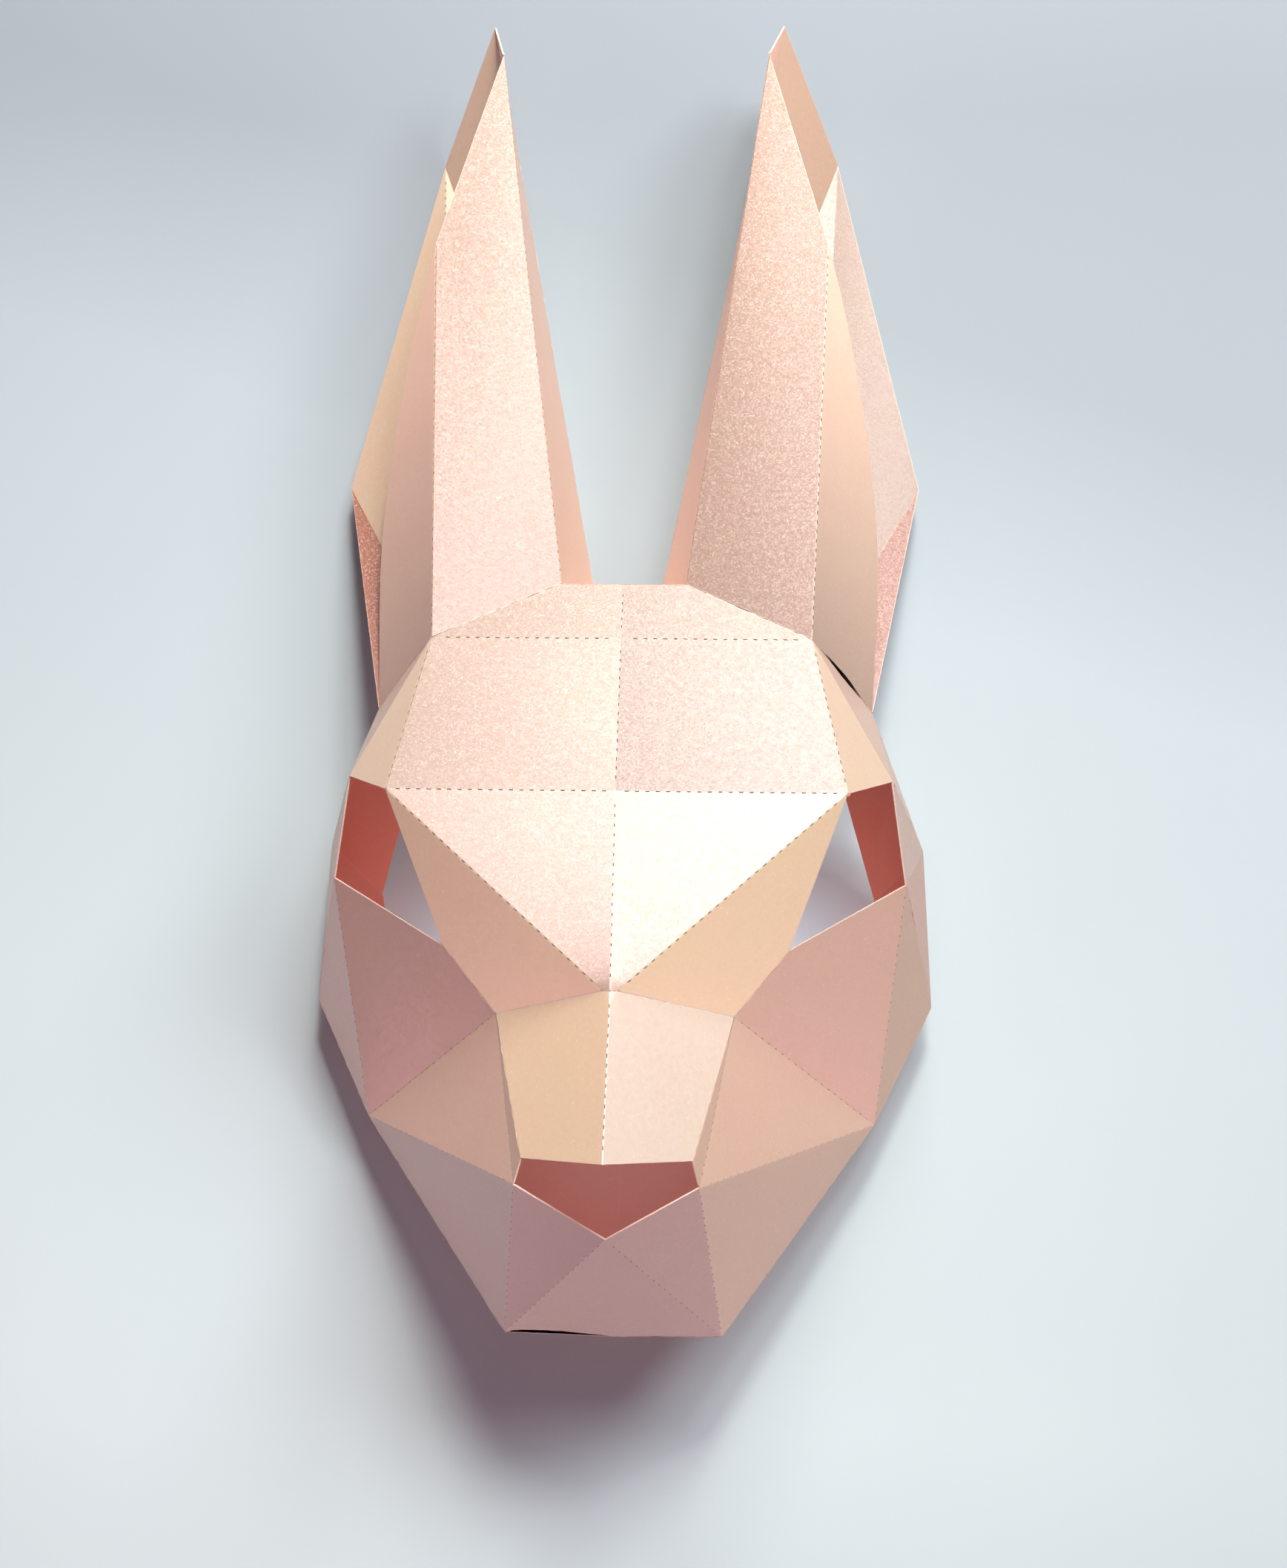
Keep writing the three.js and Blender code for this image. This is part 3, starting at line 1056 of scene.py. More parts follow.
# Each facet's painted light and shade below makes its coat lighter, darker or tinted, standing in for how the lamps
# fall on it.
SHEET_CUTS = (
    SheetCut(
        "face_sheet",
        Span.BOTH,
        (
            ("crown_middle", "crown", "top", "top_middle"),
            ("brow_middle", "brow", "crown", "crown_middle"),
            ("brow_middle", "bridge_middle", "bridge", "brow"),
            ("brow", "bridge", "nose_side", "eye_inner"),
            ("crown", "brow", "eye_top"),
            ("crown", "eye_top", "ear_foot"),
            ("eye_top", "side_high", "ear_foot"),
            ("top_middle", "top", "back_top", "back_middle"),
        ),
        bows={1: 0.12 * MM, 3: 0.15 * MM},
        painted_shadings={0: PaintedShading(0.6, 0.48), 1: PaintedShading(0.66, 0.47), 2: PaintedShading(0.89, 1.0), 3: PaintedShading(1.5, 1.42, HONEY),
               4: PaintedShading(1.3, 0.95, ROSE), 5: PaintedShading(1.02, 0.79), 6: PaintedShading(0.85, 0.75)},
    ),
    SheetCut("nose_bridge", Span.BOTH, (("bridge_middle", "nose_tip", "nostril", "nose_side", "bridge"),),
             painted_shadings={0: PaintedShading(1.35, 1.0, SAND, CREAM)}),
    SheetCut(
        "jaw_sheet",
        Span.BOTH,
        (
            ("eye_inner", "nose_side", "cheek", "eye_low"),
            ("eye_low", "cheek", "side_low"),
            ("nose_side", "mouth", "cheek"),
            ("nose_side", "nostril", "mouth"),
            ("mouth", "chin", "cheek"),
            ("mouth", "lip", "chin"),
        ),
        centre=(("lip", "chin_left", "chin_middle", "chin_right"),),
        centre_painted_shading=PaintedShading(1.15, tint=MAUVE),
        bows={0: 0.3 * MM, 2: 0.15 * MM, 4: 0.3 * MM},
        painted_shadings={0: PaintedShading(0.87, 1.06, ROSE), 1: PaintedShading(1.08, 0.96, MAUVE, ROSE), 2: PaintedShading(1.08, 0.91),
               3: PaintedShading(0.88, 0.78), 4: PaintedShading(0.93, 1.08, MAUVE, ROSE), 5: PaintedShading(0.87, 1.11, MAUVE)},
    ),
    SheetCut(
        "side_panel",
        Span.PAIR,
        (
            ("eye_top", "eye_low", "side_high"),
            ("eye_low", "side_low", "side_high"),
            ("side_high", "rim_side", "back_foot", "ear_foot"),
            ("side_high", "side_low", "rim_low", "rim_side"),
            ("side_low", "cheek", "rim_low"),
        ),
        painted_shadings={0: PaintedShading(0.85, 0.74), 1: PaintedShading(0.85, 0.64, right_tint=PEACH), 2: PaintedShading(0.85, 0.68),
               3: PaintedShading(0.85, 0.68)},
    ),
    SheetCut("under_jaw", Span.PAIR, (("neck", "rim_low", "cheek", "chin", "chin_middle"),)),
    SheetCut(
        "ear_front",
        Span.PAIR,
        (
            ("front_tip", "top", "crown", "kink"),
            ("front_tip", "back_tip", "back_top", "top"),
        ),
        bows={0: 0.15 * MM},
        painted_shadings={0: PaintedShading(0.41, 0.415, APRICOT), 1: PaintedShading(1.09, 1.6, right_tint=WARM)},
        flank=PaintedShading(1.48, 1.06, (1.0, 1.0, 0.94), (1.0, 1.06, 1.03), fade=0.8),
    ),
    SheetCut(
        "ear_back",
        Span.PAIR,
        (
            ("back_tip", "back_notch", "back_top"),
            ("back_notch", "back_corner", "back_foot"),
            ("back_notch", "back_foot", "back_top"),
            ("back_corner", "ear_foot", "back_foot"),
        ),
        bows={1: 0.4 * MM, 2: 0.4 * MM},
        painted_shadings={0: PaintedShading(1.28, 0.82, ROSE, BLUSH), 1: PaintedShading(1.2, 0.45, ROSE, BLUSH), 2: PaintedShading(1.17, 0.39, ROSE, BLUSH),
               3: PaintedShading(0.45, 0.28, AMBER)},
    ),
)

# Folds that show a row of cuts. A fold that isn't listed is soft.
FOLD_ROWS: dict[Crease, tuple[tuple[str, str], ...]] = {
    Crease.PERFORATED: (
        ("crown_middle", "crown"),
        ("brow_middle", "brow"),
        ("crown", "brow"),
        ("brow", "bridge"),
        ("crown", "kink"),
        ("bridge_middle", "nose_tip"),
        ("back_notch", "back_foot"),
    ),
    Crease.FAINT: (
        ("nose_side", "cheek"),
        ("eye_low", "cheek"),
        ("mouth", "cheek"),
        ("mouth", "chin"),
        ("lip", "chin"),
        ("side_low", "side_high"),
    ),
    Crease.FINE: (
        ("top_middle", "crown_middle"),
        ("crown_middle", "brow_middle"),
        ("brow_middle", "bridge_middle"),
        ("eye_low", "side_high"),
        ("nose_side", "mouth"),
        ("back_corner", "back_foot"),
        ("back_notch", "back_top"),
        ("front_tip", "top"),
    ),
}


@dataclass(frozen=True)
class Gape:
    """A seam that gapes where one sheet's card pulls away from the other's."""

    start: str
    end: str
    sheet: str
    width: float
    lean: float = 1.0
    blunt: float = 2.0


GAPES = (
    Gape("crown_right", "ear_foot_right", "ear_front_right", 1.15 * MM),
    Gape("crown_right", "ear_foot_right", "face_sheet", 0.5 * MM),
    Gape("crown_left", "ear_foot_left", "ear_front_left", 0.35 * MM),
    Gape("chin_left", "chin_middle", "jaw_sheet", 2.3 * MM, lean=0.62, blunt=0.8),
    Gape("chin_right", "chin_middle", "jaw_sheet", 0.4 * MM, blunt=1.0),
    Gape("side_low_left", "cheek_left", "jaw_sheet", 0.15 * MM),
)

FLANK_STOPS = ("ear_foot", "flank_low", "flank_middle", "flank_high", "kink")
FLANK_POINTS = 60


@dataclass
class CardMask:
    """The mask's sheets: lays out their panels, builds them and puts them in the solids' places."""

    sizes: MaskSizes
    corners: Corners
    outside: bpy.types.Material
    inside: bpy.types.Material
    backs: dict[str, bpy.types.Material]
    edge: bpy.types.Material

    def creases(self) -> dict[frozenset[str], Crease]:
        """Looks up how each fold is prepared.

        Returns:
            The kind of crease by the fold's two corners.
        """
        found: dict[frozenset[str], Crease] = {}
        for crease, pairs in FOLD_ROWS.items():
            for side in Side:
                for pair in pairs:
                    found[frozenset(self.corners.on_side(name, side) for name in pair)] = crease
        return found

    def side_panels(self, cut: SheetCut, side: Side) -> list[Panel]:
        """The panels of a sheet on one side.

        Args:
            cut: the sheet.
            side: which side.

        Returns:
            Its panels, anticlockwise seen from outside.
        """
        panels: list[Panel] = []
        for number, facet in enumerate(cut.facets):
            names = [self.corners.on_side(name, side) for name in facet]
            if side is Side.LEFT:
                names = [names[0], *reversed(names[1:])]
            places = np.array([self.corners.at(name) for name in names])
            tone = cut.painted_shadings.get(number, PaintedShading()).on(side)
            panels.append(Panel(names, places, bow=cut.bows.get(number, 0.0), tone=tone))
        if cut.flank:
            panels.append(self.flank(side, cut.flank))
        return panels

    def flank(self, side: Side, tone: PaintedShading) -> BentPanel:
        """Lays out the bent flank of one ear.

        Args:
            side: which ear.
            tone: the painted light and shade of its coat.

        Returns:
            Its panel.
        """
        stops = [self.corners.at(f"{name}_{side.value}") for name in FLANK_STOPS]
        rim = smooth_curve(stops, FLANK_POINTS)
        crown = self.corners.at(f"crown_{side.value}")
        share = np.linspace(0.0, 1.0, FLANK_POINTS)[:, None]
        fold = crown + (stops[-1] - crown) * share
        names = ["crown", "kink", "ear_foot"] if side is Side.LEFT else ["crown", "ear_foot", "kink"]
        return BentPanel([f"{name}_{side.value}" for name in names], fold, rim, tone.on(side), tone.fade)

    def plans(self) -> list[SheetPlan]:
        """Lays out all sheets.

        Returns:
            The sheets with their panels and the looks of their seams.
        """
        plans: list[SheetPlan] = []
        for cut in SHEET_CUTS:
            right = self.side_panels(cut, Side.RIGHT)
            left = self.side_panels(cut, Side.LEFT)
            if cut.span is Span.BOTH:
                middle = [Panel(list(names), np.array([self.corners.at(n) for n in names])) for names in cut.centre]
                for panel in middle:
                    panel.tone = cut.centre_painted_shading.on(Side.LEFT)
                plans.append(SheetPlan(cut.name, [*left, *right, *middle]))
            else:
                plans += [SheetPlan(f"{cut.name}_left", left), SheetPlan(f"{cut.name}_right", right)]
        self.mark_seams(plans)
        return plans

    def mark_seams(self, plans: list[SheetPlan]) -> None:
        """Gives the edges that two sheets share the look of a seam.

        Args:
            plans: all sheets.
        """
        owners: dict[frozenset[str], set[str]] = {}
        for plan in plans:
            for panel in plan.panels:
                for a, b in zip(panel.corners, panel.corners[1:] + panel.corners[:1]):
                    owners.setdefault(frozenset((a, b)), set()).add(plan.name)
        chin = {frozenset(("chin_left", "chin_middle")), frozenset(("chin_right", "chin_middle"))}
        shared = {key for key, names in owners.items() if len(names) > 1} | chin
        for plan in plans:
            for key in shared:
                plan.looks[key] = SEAM_LOOK
            plan.looks[frozenset(("neck", "chin_middle"))] = EdgeLook(ragged=0.01 * MM)
            for gape in GAPES:
                if gape.sheet == plan.name:
                    key = frozenset((gape.start, gape.end))
                    plan.looks[key] = replace(SEAM_LOOK, gape=gape.width, lean=gape.lean, blunt=gape.blunt,
                                              toward=gape.end)

    def build(self) -> list[bpy.types.Object]:
        """Builds every sheet.

        Returns:
            The sheets' objects.
        """
        objects = []
        creases = self.creases()
        for seed, plan in enumerate(self.plans()):
            builder = SheetBuilder(plan, self.corners, creases, self.sizes.card, seed)
            builder.build()
            behind = self.backs.get(plan.name.split("_")[0], self.inside)
            piece = builder.to_object(self.outside, behind, self.edge)
            piece.name = f"card_{plan.name}"
            bpy.context.scene.collection.objects.link(piece)
            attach(piece, "root")
            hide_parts(plan.name)
            objects.append(piece)
            LOG.info("%s: %d faces", piece.name, len(piece.data.polygons))
        return objects


@dataclass(frozen=True)
class TornEnd:
    """A small torn end of a glue flap that peeps out at a corner."""

    corner: str
    toward: str
    reach: float
    width: float
    sink: float = 0.35 * MM


TORN_SEED = 71
TORN_ENDS = (
    TornEnd("brow_right", "eye_low_right", 1.1 * MM, 1.3 * MM),
    TornEnd("brow_left", "eye_low_left", 0.6 * MM, 0.9 * MM),
    TornEnd("eye_top_right", "eye_inner_right", 0.8 * MM, 1.0 * MM),
    TornEnd("eye_top_left", "eye_inner_left", 0.5 * MM, 0.7 * MM),
    TornEnd("front_tip_left", "back_tip_left", 0.7 * MM, 0.8 * MM, 0.1 * MM),
    TornEnd("front_tip_right", "back_tip_right", 0.7 * MM, 0.8 * MM, 0.1 * MM),
    TornEnd("lip", "chin_middle", 0.8 * MM, 0.6 * MM, -0.02 * MM),
)


@dataclass
class TornEnds:
    """The torn ends of the glue flaps, all in one object."""

    corners: Corners
    paper: bpy.types.Material
    thickness: float = 0.22 * MM
    sides: int = 9

    def outline(self, end: TornEnd, random: np.random.Generator) -> Array:
        """The ragged rim of one end.

        Args:
            end: the torn end.
            random: where the raggedness comes from.

        Returns:
            Its points, anticlockwise seen from above.
        """
        start = self.corners.at(end.corner)
        along = unit(self.corners.at(end.toward) - start)
        across = unit(np.cross((0.0, 0.0, 1.0), along))
        middle = start + along * end.reach * 0.35 - np.array((0.0, 0.0, end.sink))
        turns = np.arange(self.sides) * math.tau / self.sides
        swing = 1.0 + random.uniform(-0.28, 0.28, self.sides)
        spread = np.outer(np.cos(turns) * swing * end.reach / 2, along)
        return middle + spread + np.outer(np.sin(turns) * swing * end.width / 2, across)

    def build(self) -> bpy.types.Object:
        """Builds the ends.

        Returns:
            Their object.
        """
        random = np.random.default_rng(TORN_SEED)
        points: list[Array] = []
        faces: list[tuple[int, ...]] = []
        for end in TORN_ENDS:
            rim = self.outline(end, random)
            low = len(points)
            high = low + self.sides
            drop = np.array((0.0, 0.0, self.thickness))
            points += [*(rim - drop), *rim]
            faces.append(tuple(reversed(range(low, high))))
            faces.append(tuple(range(high, high + self.sides)))
            for k in range(self.sides):
                after = (k + 1) % self.sides
                faces.append((low + k, low + after, high + after, high + k))
        mesh = bpy.data.meshes.new("torn_flap_ends")
        mesh.from_pydata([tuple(point) for point in points], [], faces)
        mesh.materials.append(self.paper)
        piece = bpy.data.objects.new("torn_flap_ends", mesh)
        bpy.context.scene.collection.objects.link(piece)
        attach(piece, "root")
        LOG.info("%s: %d faces", piece.name, len(faces))
        return piece


# Finishes


class Graph:
    """A material's node tree, with short calls to add and link nodes."""

    def __init__(self, name: str) -> None:
        """Starts an empty material.

        Args:
            name: its name.
        """
        self.material = bpy.data.materials.new(name)
        self.material.use_nodes = True
        self.tree = self.material.node_tree
        self.tree.nodes.clear()

    def add(self, kind: str, inputs: dict[str | int, object] | None = None, **settings: object) -> bpy.types.Node:
        """Adds a node.

        Args:
            kind: the node's type, without "ShaderNode".
            inputs: values or sockets by input name or number.
            settings: the node's own properties.

        Returns:
            The node.
        """
        node = self.tree.nodes.new(f"ShaderNode{kind}")
        for key, value in settings.items():
            setattr(node, key, value)
        for key, value in (inputs or {}).items():
            if isinstance(value, bpy.types.NodeSocket):
                self.tree.links.new(value, node.inputs[key])
            else:
                node.inputs[key].default_value = value
        return node

    def noise(self, where: bpy.types.NodeSocket, scale: float, detail: float = 2.0) -> bpy.types.NodeSocket:
        """The value of a noise of this many features a metre."""
        made = self.add("TexNoise", {"Vector": where, "Scale": scale, "Detail": detail})
        return made.outputs["Fac"]

    def ramp(self, value: bpy.types.NodeSocket, low: float, high: float, to_low: float,
             to_high: float) -> bpy.types.NodeSocket:
        """Maps a value's range onto another, clamped.

        Args:
            value: the value.
            low: the start of its range.
            high: the end of its range.
            to_low: what the start becomes.
            to_high: what the end becomes.

        Returns:
            The mapped value.
        """
        node = self.add("MapRange", {"Value": value, "From Min": low, "From Max": high, "To Min": to_low,
                                     "To Max": to_high})
        return node.outputs["Result"]

    def mix(self, share: object, first: object, second: object, blend: str = "MIX") -> bpy.types.NodeSocket:
        """Mixes two colours."""
        node = self.add("Mix", {0: share, 6: first, 7: second}, data_type="RGBA", blend_type=blend)
        return node.outputs[2]

    def mark(self, name: str, output: str = "Fac") -> bpy.types.NodeSocket:
        """One of the sheets' point attributes."""
        return self.add("Attribute", attribute_name=name, attribute_type="GEOMETRY").outputs[output]

    def finish(self, surface: bpy.types.Node) -> bpy.types.Material:
        """Links the shader to the output.

        Args:
            surface: the shader's node.

        Returns:
            The finished material.
        """
        out = self.add("OutputMaterial")
        self.tree.links.new(surface.outputs[0], out.inputs["Surface"])
        return self.material


def rgba(colour: Colour) -> tuple[float, float, float, float]:
    """A colour with full opacity."""
    return (*colour, 1.0)


@dataclass(frozen=True)
class PearlCard:
    """Card coated with mica: a broad pearly sheen, fine sparkle and a fibrous grain, with painted light and shade
    per facet, painted highlights on fold crests, cut edges and flecks, and painted shade in the perforations.
    """

    name: str
    tint: Colour
    shade: Colour
    blush: Colour
    fibre: Colour
    # The dark colour painted into perforation slots and pricked corners as shade.
    cut: Colour
    metallic: float = 0.12
    roughness: float = 0.45
    coat: float = 0.5
    coat_roughness: float = 0.33
    grain: float = 0.14
    mica_glint_flecks: float = 0.5
    # Features a metre of the cloudy shade, the blush, the mottle, the flakes and the relief.
    cloud_scale: float = 14.0
    blush_scale: float = 55.0
    mottle_scale: float = 700.0
    flake_scale: float = 2600.0
    relief_scale: float = 1500.0
    relief_height: float = 0.12 * MM

    def material(self) -> bpy.types.Material:
        """Builds the material.

        Returns:
            The material.
        """
        graph = Graph(self.name)
        where = graph.add("TexCoord").outputs["Object"]
        cloud = graph.ramp(graph.noise(where, self.cloud_scale), 0.35, 0.65, 0.0, 1.0)
        mottle = graph.ramp(graph.noise(where, self.mottle_scale, 4.0), 0.3, 0.7, 0.0, 1.0)
        colour = graph.mix(cloud, rgba(self.tint), rgba(self.shade))
        blush = graph.ramp(graph.noise(where, self.blush_scale), 0.38, 0.62, 0.0, 0.5)
        colour = graph.mix(blush, colour, rgba(self.blush))
        speckle = graph.ramp(mottle, 0.0, 1.0, 0.0, 0.16)
        colour = graph.mix(speckle, colour, rgba(self.fibre))
        # Fold crests painted pale: partly the coat whitening where it bends, partly a painted highlight on the
        # rounded crease.
        crease = graph.ramp(graph.mark("fold"), 0.3, 1.0, 0.0, 0.35)
        colour = graph.mix(crease, colour, rgba(self.fibre))
        flakes = graph.add("TexVoronoi", {"Vector": where, "Scale": self.flake_scale})
        chance = graph.add("SeparateXYZ", {0: flakes.outputs["Color"]}).outputs["X"]
        # Sparse pale flecks: painted glints of the mica flakes.
        colour = graph.mix(graph.ramp(chance, 0.985, 0.995, 0.0, self.mica_glint_flecks), colour, rgba(self.fibre))
        # Painted light and shade of each facet, multiplied into the coat's colour.
        colour = graph.mix(1.0, colour, graph.mark("tone", "Color"), blend="MULTIPLY")
        # Cut edges painted pale: partly the bare fibre at the cut, partly a painted highlight where the edge
        # catches light.
        edge_fibre_and_highlight = graph.ramp(graph.mark("edge"), 0.4, 1.0, 0.0, 0.6)
        colour = graph.mix(edge_fibre_and_highlight, colour, rgba(self.fibre))
        # Painted shade in the perforation slots and pricked corners.
        colour = graph.mix(graph.ramp(graph.mark("cut"), 0.1, 1.0, 0.0, 1.0), colour, rgba(self.cut))
        tilt = graph.add("VectorMath", {0: flakes.outputs["Color"], 1: (0.5, 0.5, 0.5)}, operation="SUBTRACT")
        small = graph.add("VectorMath", {0: tilt.outputs[0], "Scale": self.grain * 2.2}, operation="SCALE")
        normal = graph.add("NewGeometry").outputs["Normal"]
        tilted = graph.add("VectorMath", {0: normal, 1: small.outputs[0]}, operation="ADD")
        glitter = graph.add("VectorMath", {0: tilted.outputs[0]}, operation="NORMALIZE").outputs[0]
        relief = graph.noise(where, self.relief_scale, 3.0)
        bumped = graph.add("Bump", {"Height": relief, "Strength": self.grain, "Distance": self.relief_height})
        rough = graph.ramp(mottle, 0.0, 1.0, self.roughness - 0.05, self.roughness + 0.05)
        shader = graph.add("BsdfPrincipled", {
            "Base Color": colour,
            "Metallic": self.metallic,
            "Roughness": rough,
            "Normal": bumped.outputs[0],
            "Coat Weight": self.coat,
            "Coat Roughness": self.coat_roughness,
            "Coat Normal": glitter,
        })
        return graph.finish(shader)


@dataclass(frozen=True)
class CutEdge:
    """The bare core of the card where it was cut."""

    name: str
    core: Colour
    fibre: Colour

    def material(self) -> bpy.types.Material:
        """Builds the material.

        Returns:
            The material.
        """
        graph = Graph(self.name)
        where = graph.add("TexCoord").outputs["Object"]
        strands = graph.ramp(graph.noise(where, 2400.0, 4.0), 0.35, 0.65, 0.0, 1.0)
        colour = graph.mix(strands, rgba(self.core), rgba(self.fibre))
        bumped = graph.add("Bump", {"Height": strands, "Strength": 0.3, "Distance": 0.0001})
        shader = graph.add("BsdfPrincipled", {"Base Color": colour, "Roughness": 0.75, "Normal": bumped.outputs[0]})
        return graph.finish(shader)


@dataclass(frozen=True)
class TableTop:
    """The pale, slightly cool surface that the mask lies on, with painted light and shade: darker towards the far
    end and to one side, lighter and darker across a slanted line, and a painted patch of light in front of the
    mask.
    """

    name: str
    # The lit colour at the near end and a darker far colour: painted falloff of the light.
    near: Colour
    far: Colour
    low_y: float = -0.245
    high_y: float = 0.195
    half_width: float = 0.19
    fade: float = 0.09
    slant: float = 0.35
    painted_slant_light: tuple[float, float] = (0.046, 0.146)
    painted_slant_factors: tuple[float, float] = (1.08, 0.86)
    painted_light_pool: Colour = (0.03, -0.25, 0.0)
    painted_light_pool_reach: tuple[float, float] = (0.08, 0.3)
    painted_light_pool_factors: tuple[float, float] = (1.06, 1.0)

    def material(self) -> bpy.types.Material:
        """Builds the material.

        Returns:
            The material.
        """
        graph = Graph(self.name)
        where = graph.add("TexCoord").outputs["Object"]
        along = graph.add("SeparateXYZ", {0: where})
        # Painted falloff of the light from the near colour to the darker far one.
        share = graph.ramp(along.outputs["Y"], self.low_y, self.high_y, 0.0, 1.0)
        colour = graph.mix(share, rgba(self.near), rgba(self.far))
        # Painted shade: lighter on the left, darker on the right.
        across = graph.ramp(along.outputs["X"], -self.half_width, self.half_width, 1.0 + self.fade, 1.0 - self.fade)
        colour = graph.mix(1.0, colour, across, blend="MULTIPLY")
        # Painted light and shade: lighter on one side of a slanted line, darker on the other.
        slant = graph.add("VectorMath", {0: where, 1: (self.slant, 1.0, 0.0)}, operation="DOT_PRODUCT")
        painted_slant_light = graph.ramp(slant.outputs["Value"], *self.painted_slant_light, *self.painted_slant_factors)
        colour = graph.mix(1.0, colour, painted_slant_light, blend="MULTIPLY")
        # A painted patch of light around a point in front of the mask.
        reach = graph.add("VectorMath", {0: where, 1: self.painted_light_pool}, operation="DISTANCE")
        painted_light_pool = graph.ramp(reach.outputs["Value"], *self.painted_light_pool_reach, *self.painted_light_pool_factors)
        colour = graph.mix(1.0, colour, painted_light_pool, blend="MULTIPLY")
        cloud = graph.ramp(graph.noise(where, 6.0), 0.3, 0.7, 0.0, 0.08)
        colour = graph.mix(cloud, colour, rgba(self.far))
        shader = graph.add("BsdfPrincipled", {"Base Color": colour, "Roughness": 0.6, "Specular IOR Level": 0.25})
        return graph.finish(shader)


# Studio


@dataclass(frozen=True)
class SoftLight:
    """A round soft light that looks at a point."""

    name: str
    azimuth: float
    elevation: float
    distance: float
    size: float
    watts: float
    colour: Colour
    target: Colour = (0.0, -0.08, 0.04)
    glossy_only: bool = False

    def build(self) -> bpy.types.Object:
        """Makes the light.

        Returns:
            The light's object.
        """
        data = bpy.data.lights.new(self.name, "AREA")
        data.shape = "DISK"
        data.size = self.size
        data.energy = self.watts
        data.color = self.colour
        light = bpy.data.objects.new(self.name, data)
        turn, rise = math.radians(self.azimuth), math.radians(self.elevation)
        away = Vector((math.sin(turn) * math.cos(rise), math.cos(turn) * math.cos(rise), math.sin(rise)))
        light.location = Vector(self.target) + away * self.distance
        light.rotation_euler = away.to_track_quat("Z", "Y").to_euler()
        light.visible_diffuse = not self.glossy_only
        bpy.context.scene.collection.objects.link(light)
        return light


@dataclass(frozen=True)
class HollowLight:
    """A faint light in the hollow behind the face, for the light that thin card lets through."""

    name: str
    place: Colour
    watts: float
    colour: Colour = (0.85, 1.15, 1.35)
    radius: float = 0.012

    def build(self) -> bpy.types.Object:
        """Makes the light.

        Returns:
            The light's object.
        """
        data = bpy.data.lights.new(self.name, "POINT")
        data.energy = self.watts
        data.color = self.colour
        data.shadow_soft_size = self.radius
        light = bpy.data.objects.new(self.name, data)
        light.location = self.place
        light.visible_camera = False
        light.visible_glossy = False
        bpy.context.scene.collection.objects.link(light)
        return light


@dataclass(frozen=True)
class Studio:
    """The camera at the photograph's angle, the surface and the light."""

    lens: float = 48.76
    film_height: float = 36.0
    eye: Colour = (0.0374, -0.1422, 0.6872)
    right: Colour = (0.99883, 0.01780, -0.04489)
    up: Colour = (-0.01093, 0.98880, 0.14884)
    back: Colour = (0.04703, -0.14818, 0.98784)
    floor_reach: float = 1.6

    def camera(self) -> bpy.types.Object:
        """Makes the camera and the scene's view.

        Returns:
            The camera's object.
        """
        data = bpy.data.cameras.new("camera")
        data.sensor_fit = "VERTICAL"
        data.sensor_height = self.film_height
        data.lens = self.lens
        data.clip_start = 0.01
        camera = bpy.data.objects.new("camera", data)
        turn = Matrix((self.right, self.up, self.back)).transposed().to_4x4()
        camera.matrix_world = Matrix.Translation(self.eye) @ turn
        bpy.context.scene.collection.objects.link(camera)
        bpy.context.scene.camera = camera
        return camera

    def table(self, finish: TableTop) -> bpy.types.Object:
        """Lays the surface under the mask.

        Args:
            finish: its finish.

        Returns:
            The surface's object.
        """
        reach = self.floor_reach
        mesh = bpy.data.meshes.new("table_top")
        drop = -0.2 * MM
        ring = [(-reach, -reach, drop), (reach, -reach, drop), (reach, reach, drop), (-reach, reach, drop)]
        mesh.from_pydata(ring, [], [(0, 1, 2, 3)])
        mesh.materials.append(finish.material())
        table = bpy.data.objects.new("table_top", mesh)
        bpy.context.scene.collection.objects.link(table)
        return table

    def sky(self, colour: Colour, strength: float) -> None:
        """Fills the shadows with an even light.

        Args:
            colour: its colour.
            strength: its strength.
        """
        world = bpy.data.worlds.new("room")
        world.use_nodes = True
        world.node_tree.nodes["Background"].inputs["Color"].default_value = rgba(colour)
        world.node_tree.nodes["Background"].inputs["Strength"].default_value = strength
        bpy.context.scene.world = world


OUTSIDE = PearlCard(
    "pearl_card", tint=(0.60, 0.388, 0.279), shade=(0.588, 0.375, 0.271), blush=(0.60, 0.367, 0.279),
    fibre=(0.72, 0.53, 0.43), cut=(0.25, 0.19, 0.16)
)
# The card's inside: its deep red is partly the card's own colour and partly a painted glow of light shining through
# the thin card.
INSIDE = PearlCard(
    "pearl_card_inside", tint=(0.78, 0.222, 0.145), shade=(0.76, 0.21, 0.135), blush=(0.77, 0.2, 0.14),
    fibre=(0.8, 0.34, 0.26), cut=(0.30, 0.08, 0.06), metallic=0.0, roughness=0.6, coat=0.1
)
# A darker copy of the inside card for the under-jaw sheets: painted shade in the hollow under the jaw.
UNDER_JAW_SHADED_INSIDE = replace(
    INSIDE, name="pearl_card_under_jaw", tint=(0.44, 0.205, 0.155), shade=(0.43, 0.195, 0.15),
    blush=(0.44, 0.19, 0.155), fibre=(0.5, 0.28, 0.22)
)
CUT_EDGE = CutEdge("cut_edge", core=(0.70, 0.50, 0.39), fibre=(0.78, 0.60, 0.50))
TABLE_TOP = TableTop("pale_table", near=(0.635, 0.735, 0.73), far=(0.315, 0.352, 0.382))

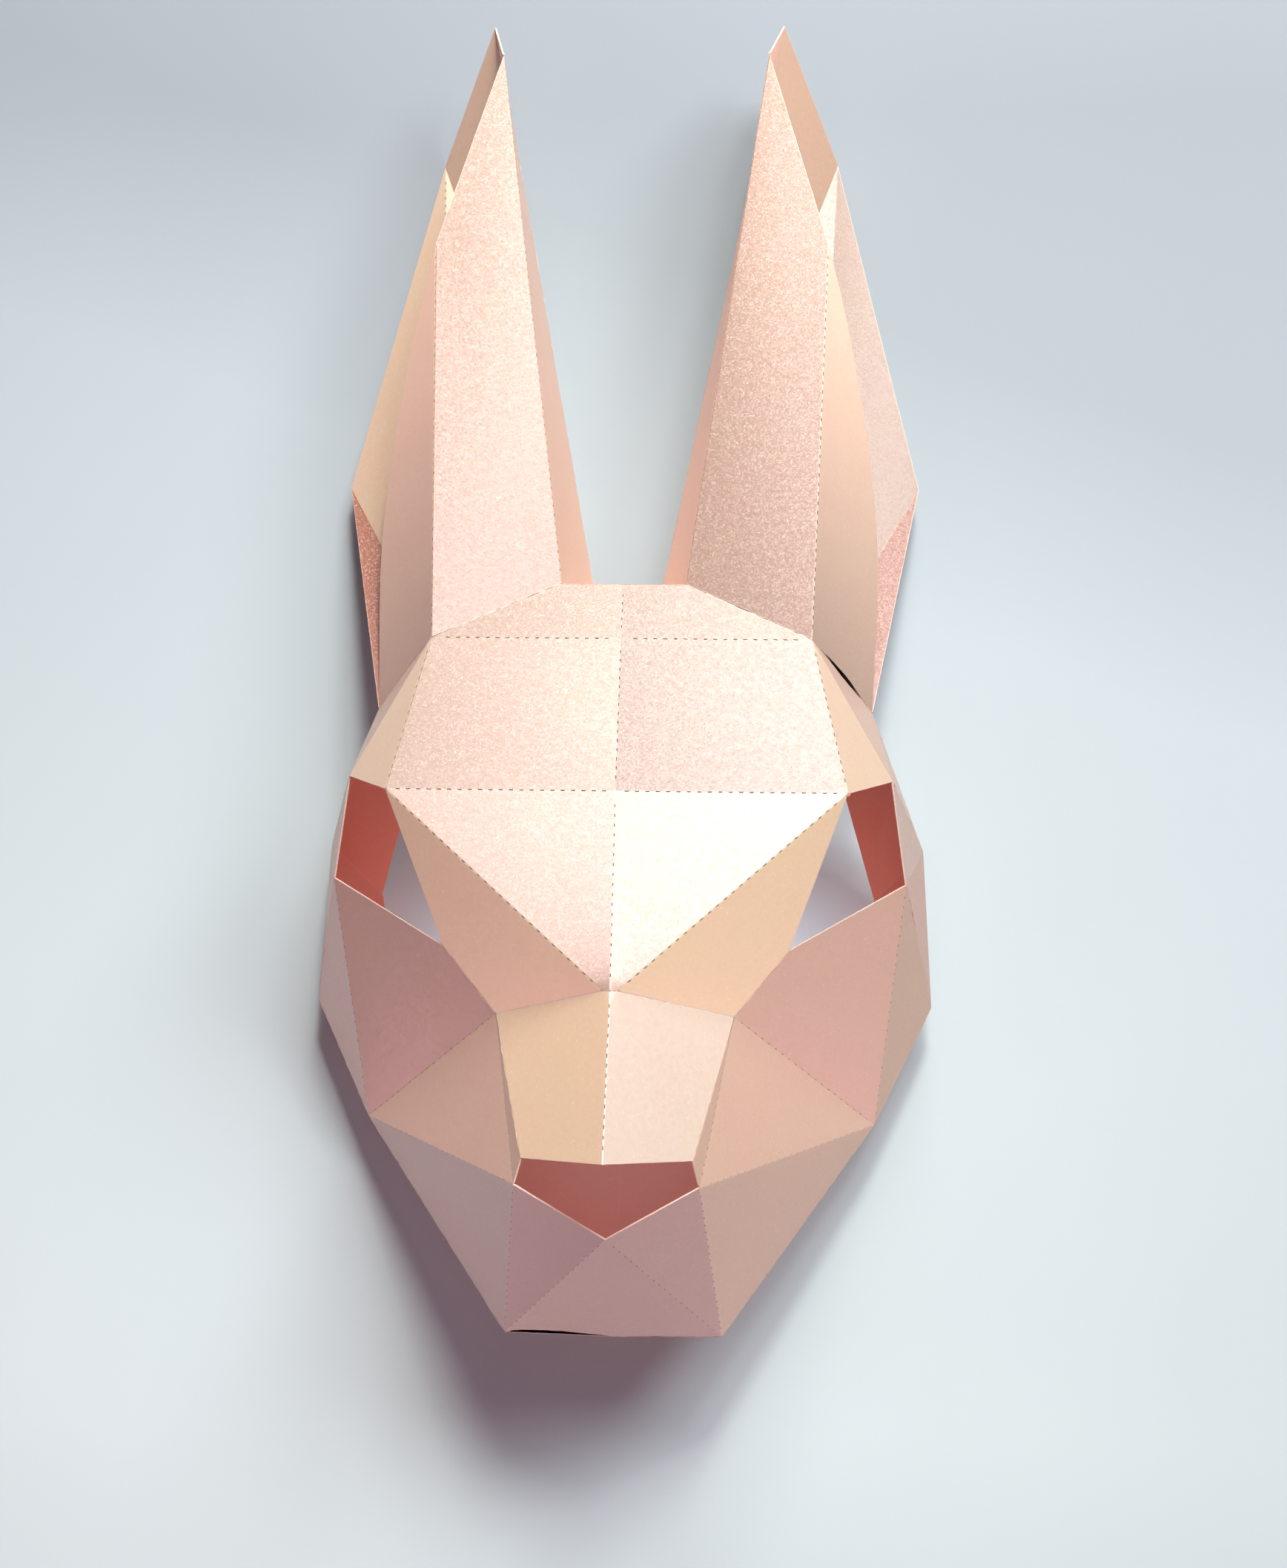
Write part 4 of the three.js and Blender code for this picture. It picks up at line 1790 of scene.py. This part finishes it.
LIGHTS = (
    SoftLight("key_light", 8.0, 43.8, distance=1.2, size=0.22, watts=9.8, colour=(1.0, 1.0, 0.95)),
    SoftLight("key_light_right", 26.0, 44.0, distance=1.2, size=0.25, watts=4.6, colour=(0.92, 0.95, 1.0)),
    SoftLight("window_far", 6.0, 27.5, distance=1.3, size=0.4, watts=7.2, colour=(1.0, 0.943, 0.93)),
    SoftLight("window_right", 48.0, 36.6, distance=1.3, size=0.5, watts=9.4, colour=(0.92, 0.95, 1.0)),
    SoftLight("fill_left", -90.0, 25.0, distance=1.3, size=0.6, watts=1.4, colour=(1.0, 0.7, 0.85)),
    SoftLight("fill_low_right", 138.0, 9.0, distance=1.3, size=0.6, watts=5.2, colour=(1.0, 0.56, 0.72)),
    SoftLight("fill_low_left", -138.0, 9.0, distance=1.3, size=0.6, watts=5.3, colour=(1.0, 0.56, 0.74)),
    SoftLight("glare", 14.0, 70.7, distance=1.2, size=0.45, watts=15.0, colour=(0.85, 0.88, 1.0), glossy_only=True),
)

# Colour and strength of the room's even light.
ROOM_GLOW = ((1.0, 0.6, 0.8), 0.01)

HOLLOW_LIGHTS = (
    HollowLight("hollow_left", (-0.045, -0.1, 0.035), 0.0275),
    HollowLight("hollow_right", (0.045, -0.1, 0.035), 0.039),
    HollowLight("hollow_nose", (0.0, -0.15, 0.045), 0.014),
    HollowLight("hollow_chin", (-0.02, -0.193, 0.034), 0.005, (1.0, 0.25, 0.22), 0.004),
)


def main() -> None:
    """Builds the studio and the mask, piece by piece."""
    logging.basicConfig(level=logging.INFO, format="%(name)s %(message)s")
    bpy.context.scene.view_settings.view_transform = "Standard"
    studio = Studio()
    studio.camera()
    studio.table(TABLE_TOP)
    studio.sky(*ROOM_GLOW)
    for light in (*LIGHTS, *HOLLOW_LIGHTS):
        light.build()
    corners = Corners(MaskSizes())
    cut_edge = CUT_EDGE.material()
    outside = OUTSIDE.material()
    backs = {"ear": outside, "under": UNDER_JAW_SHADED_INSIDE.material()}
    CardMask(MaskSizes(), corners, outside, INSIDE.material(), backs, cut_edge).build()
    TornEnds(corners, cut_edge).build()


if __name__ == "__main__":
    main()
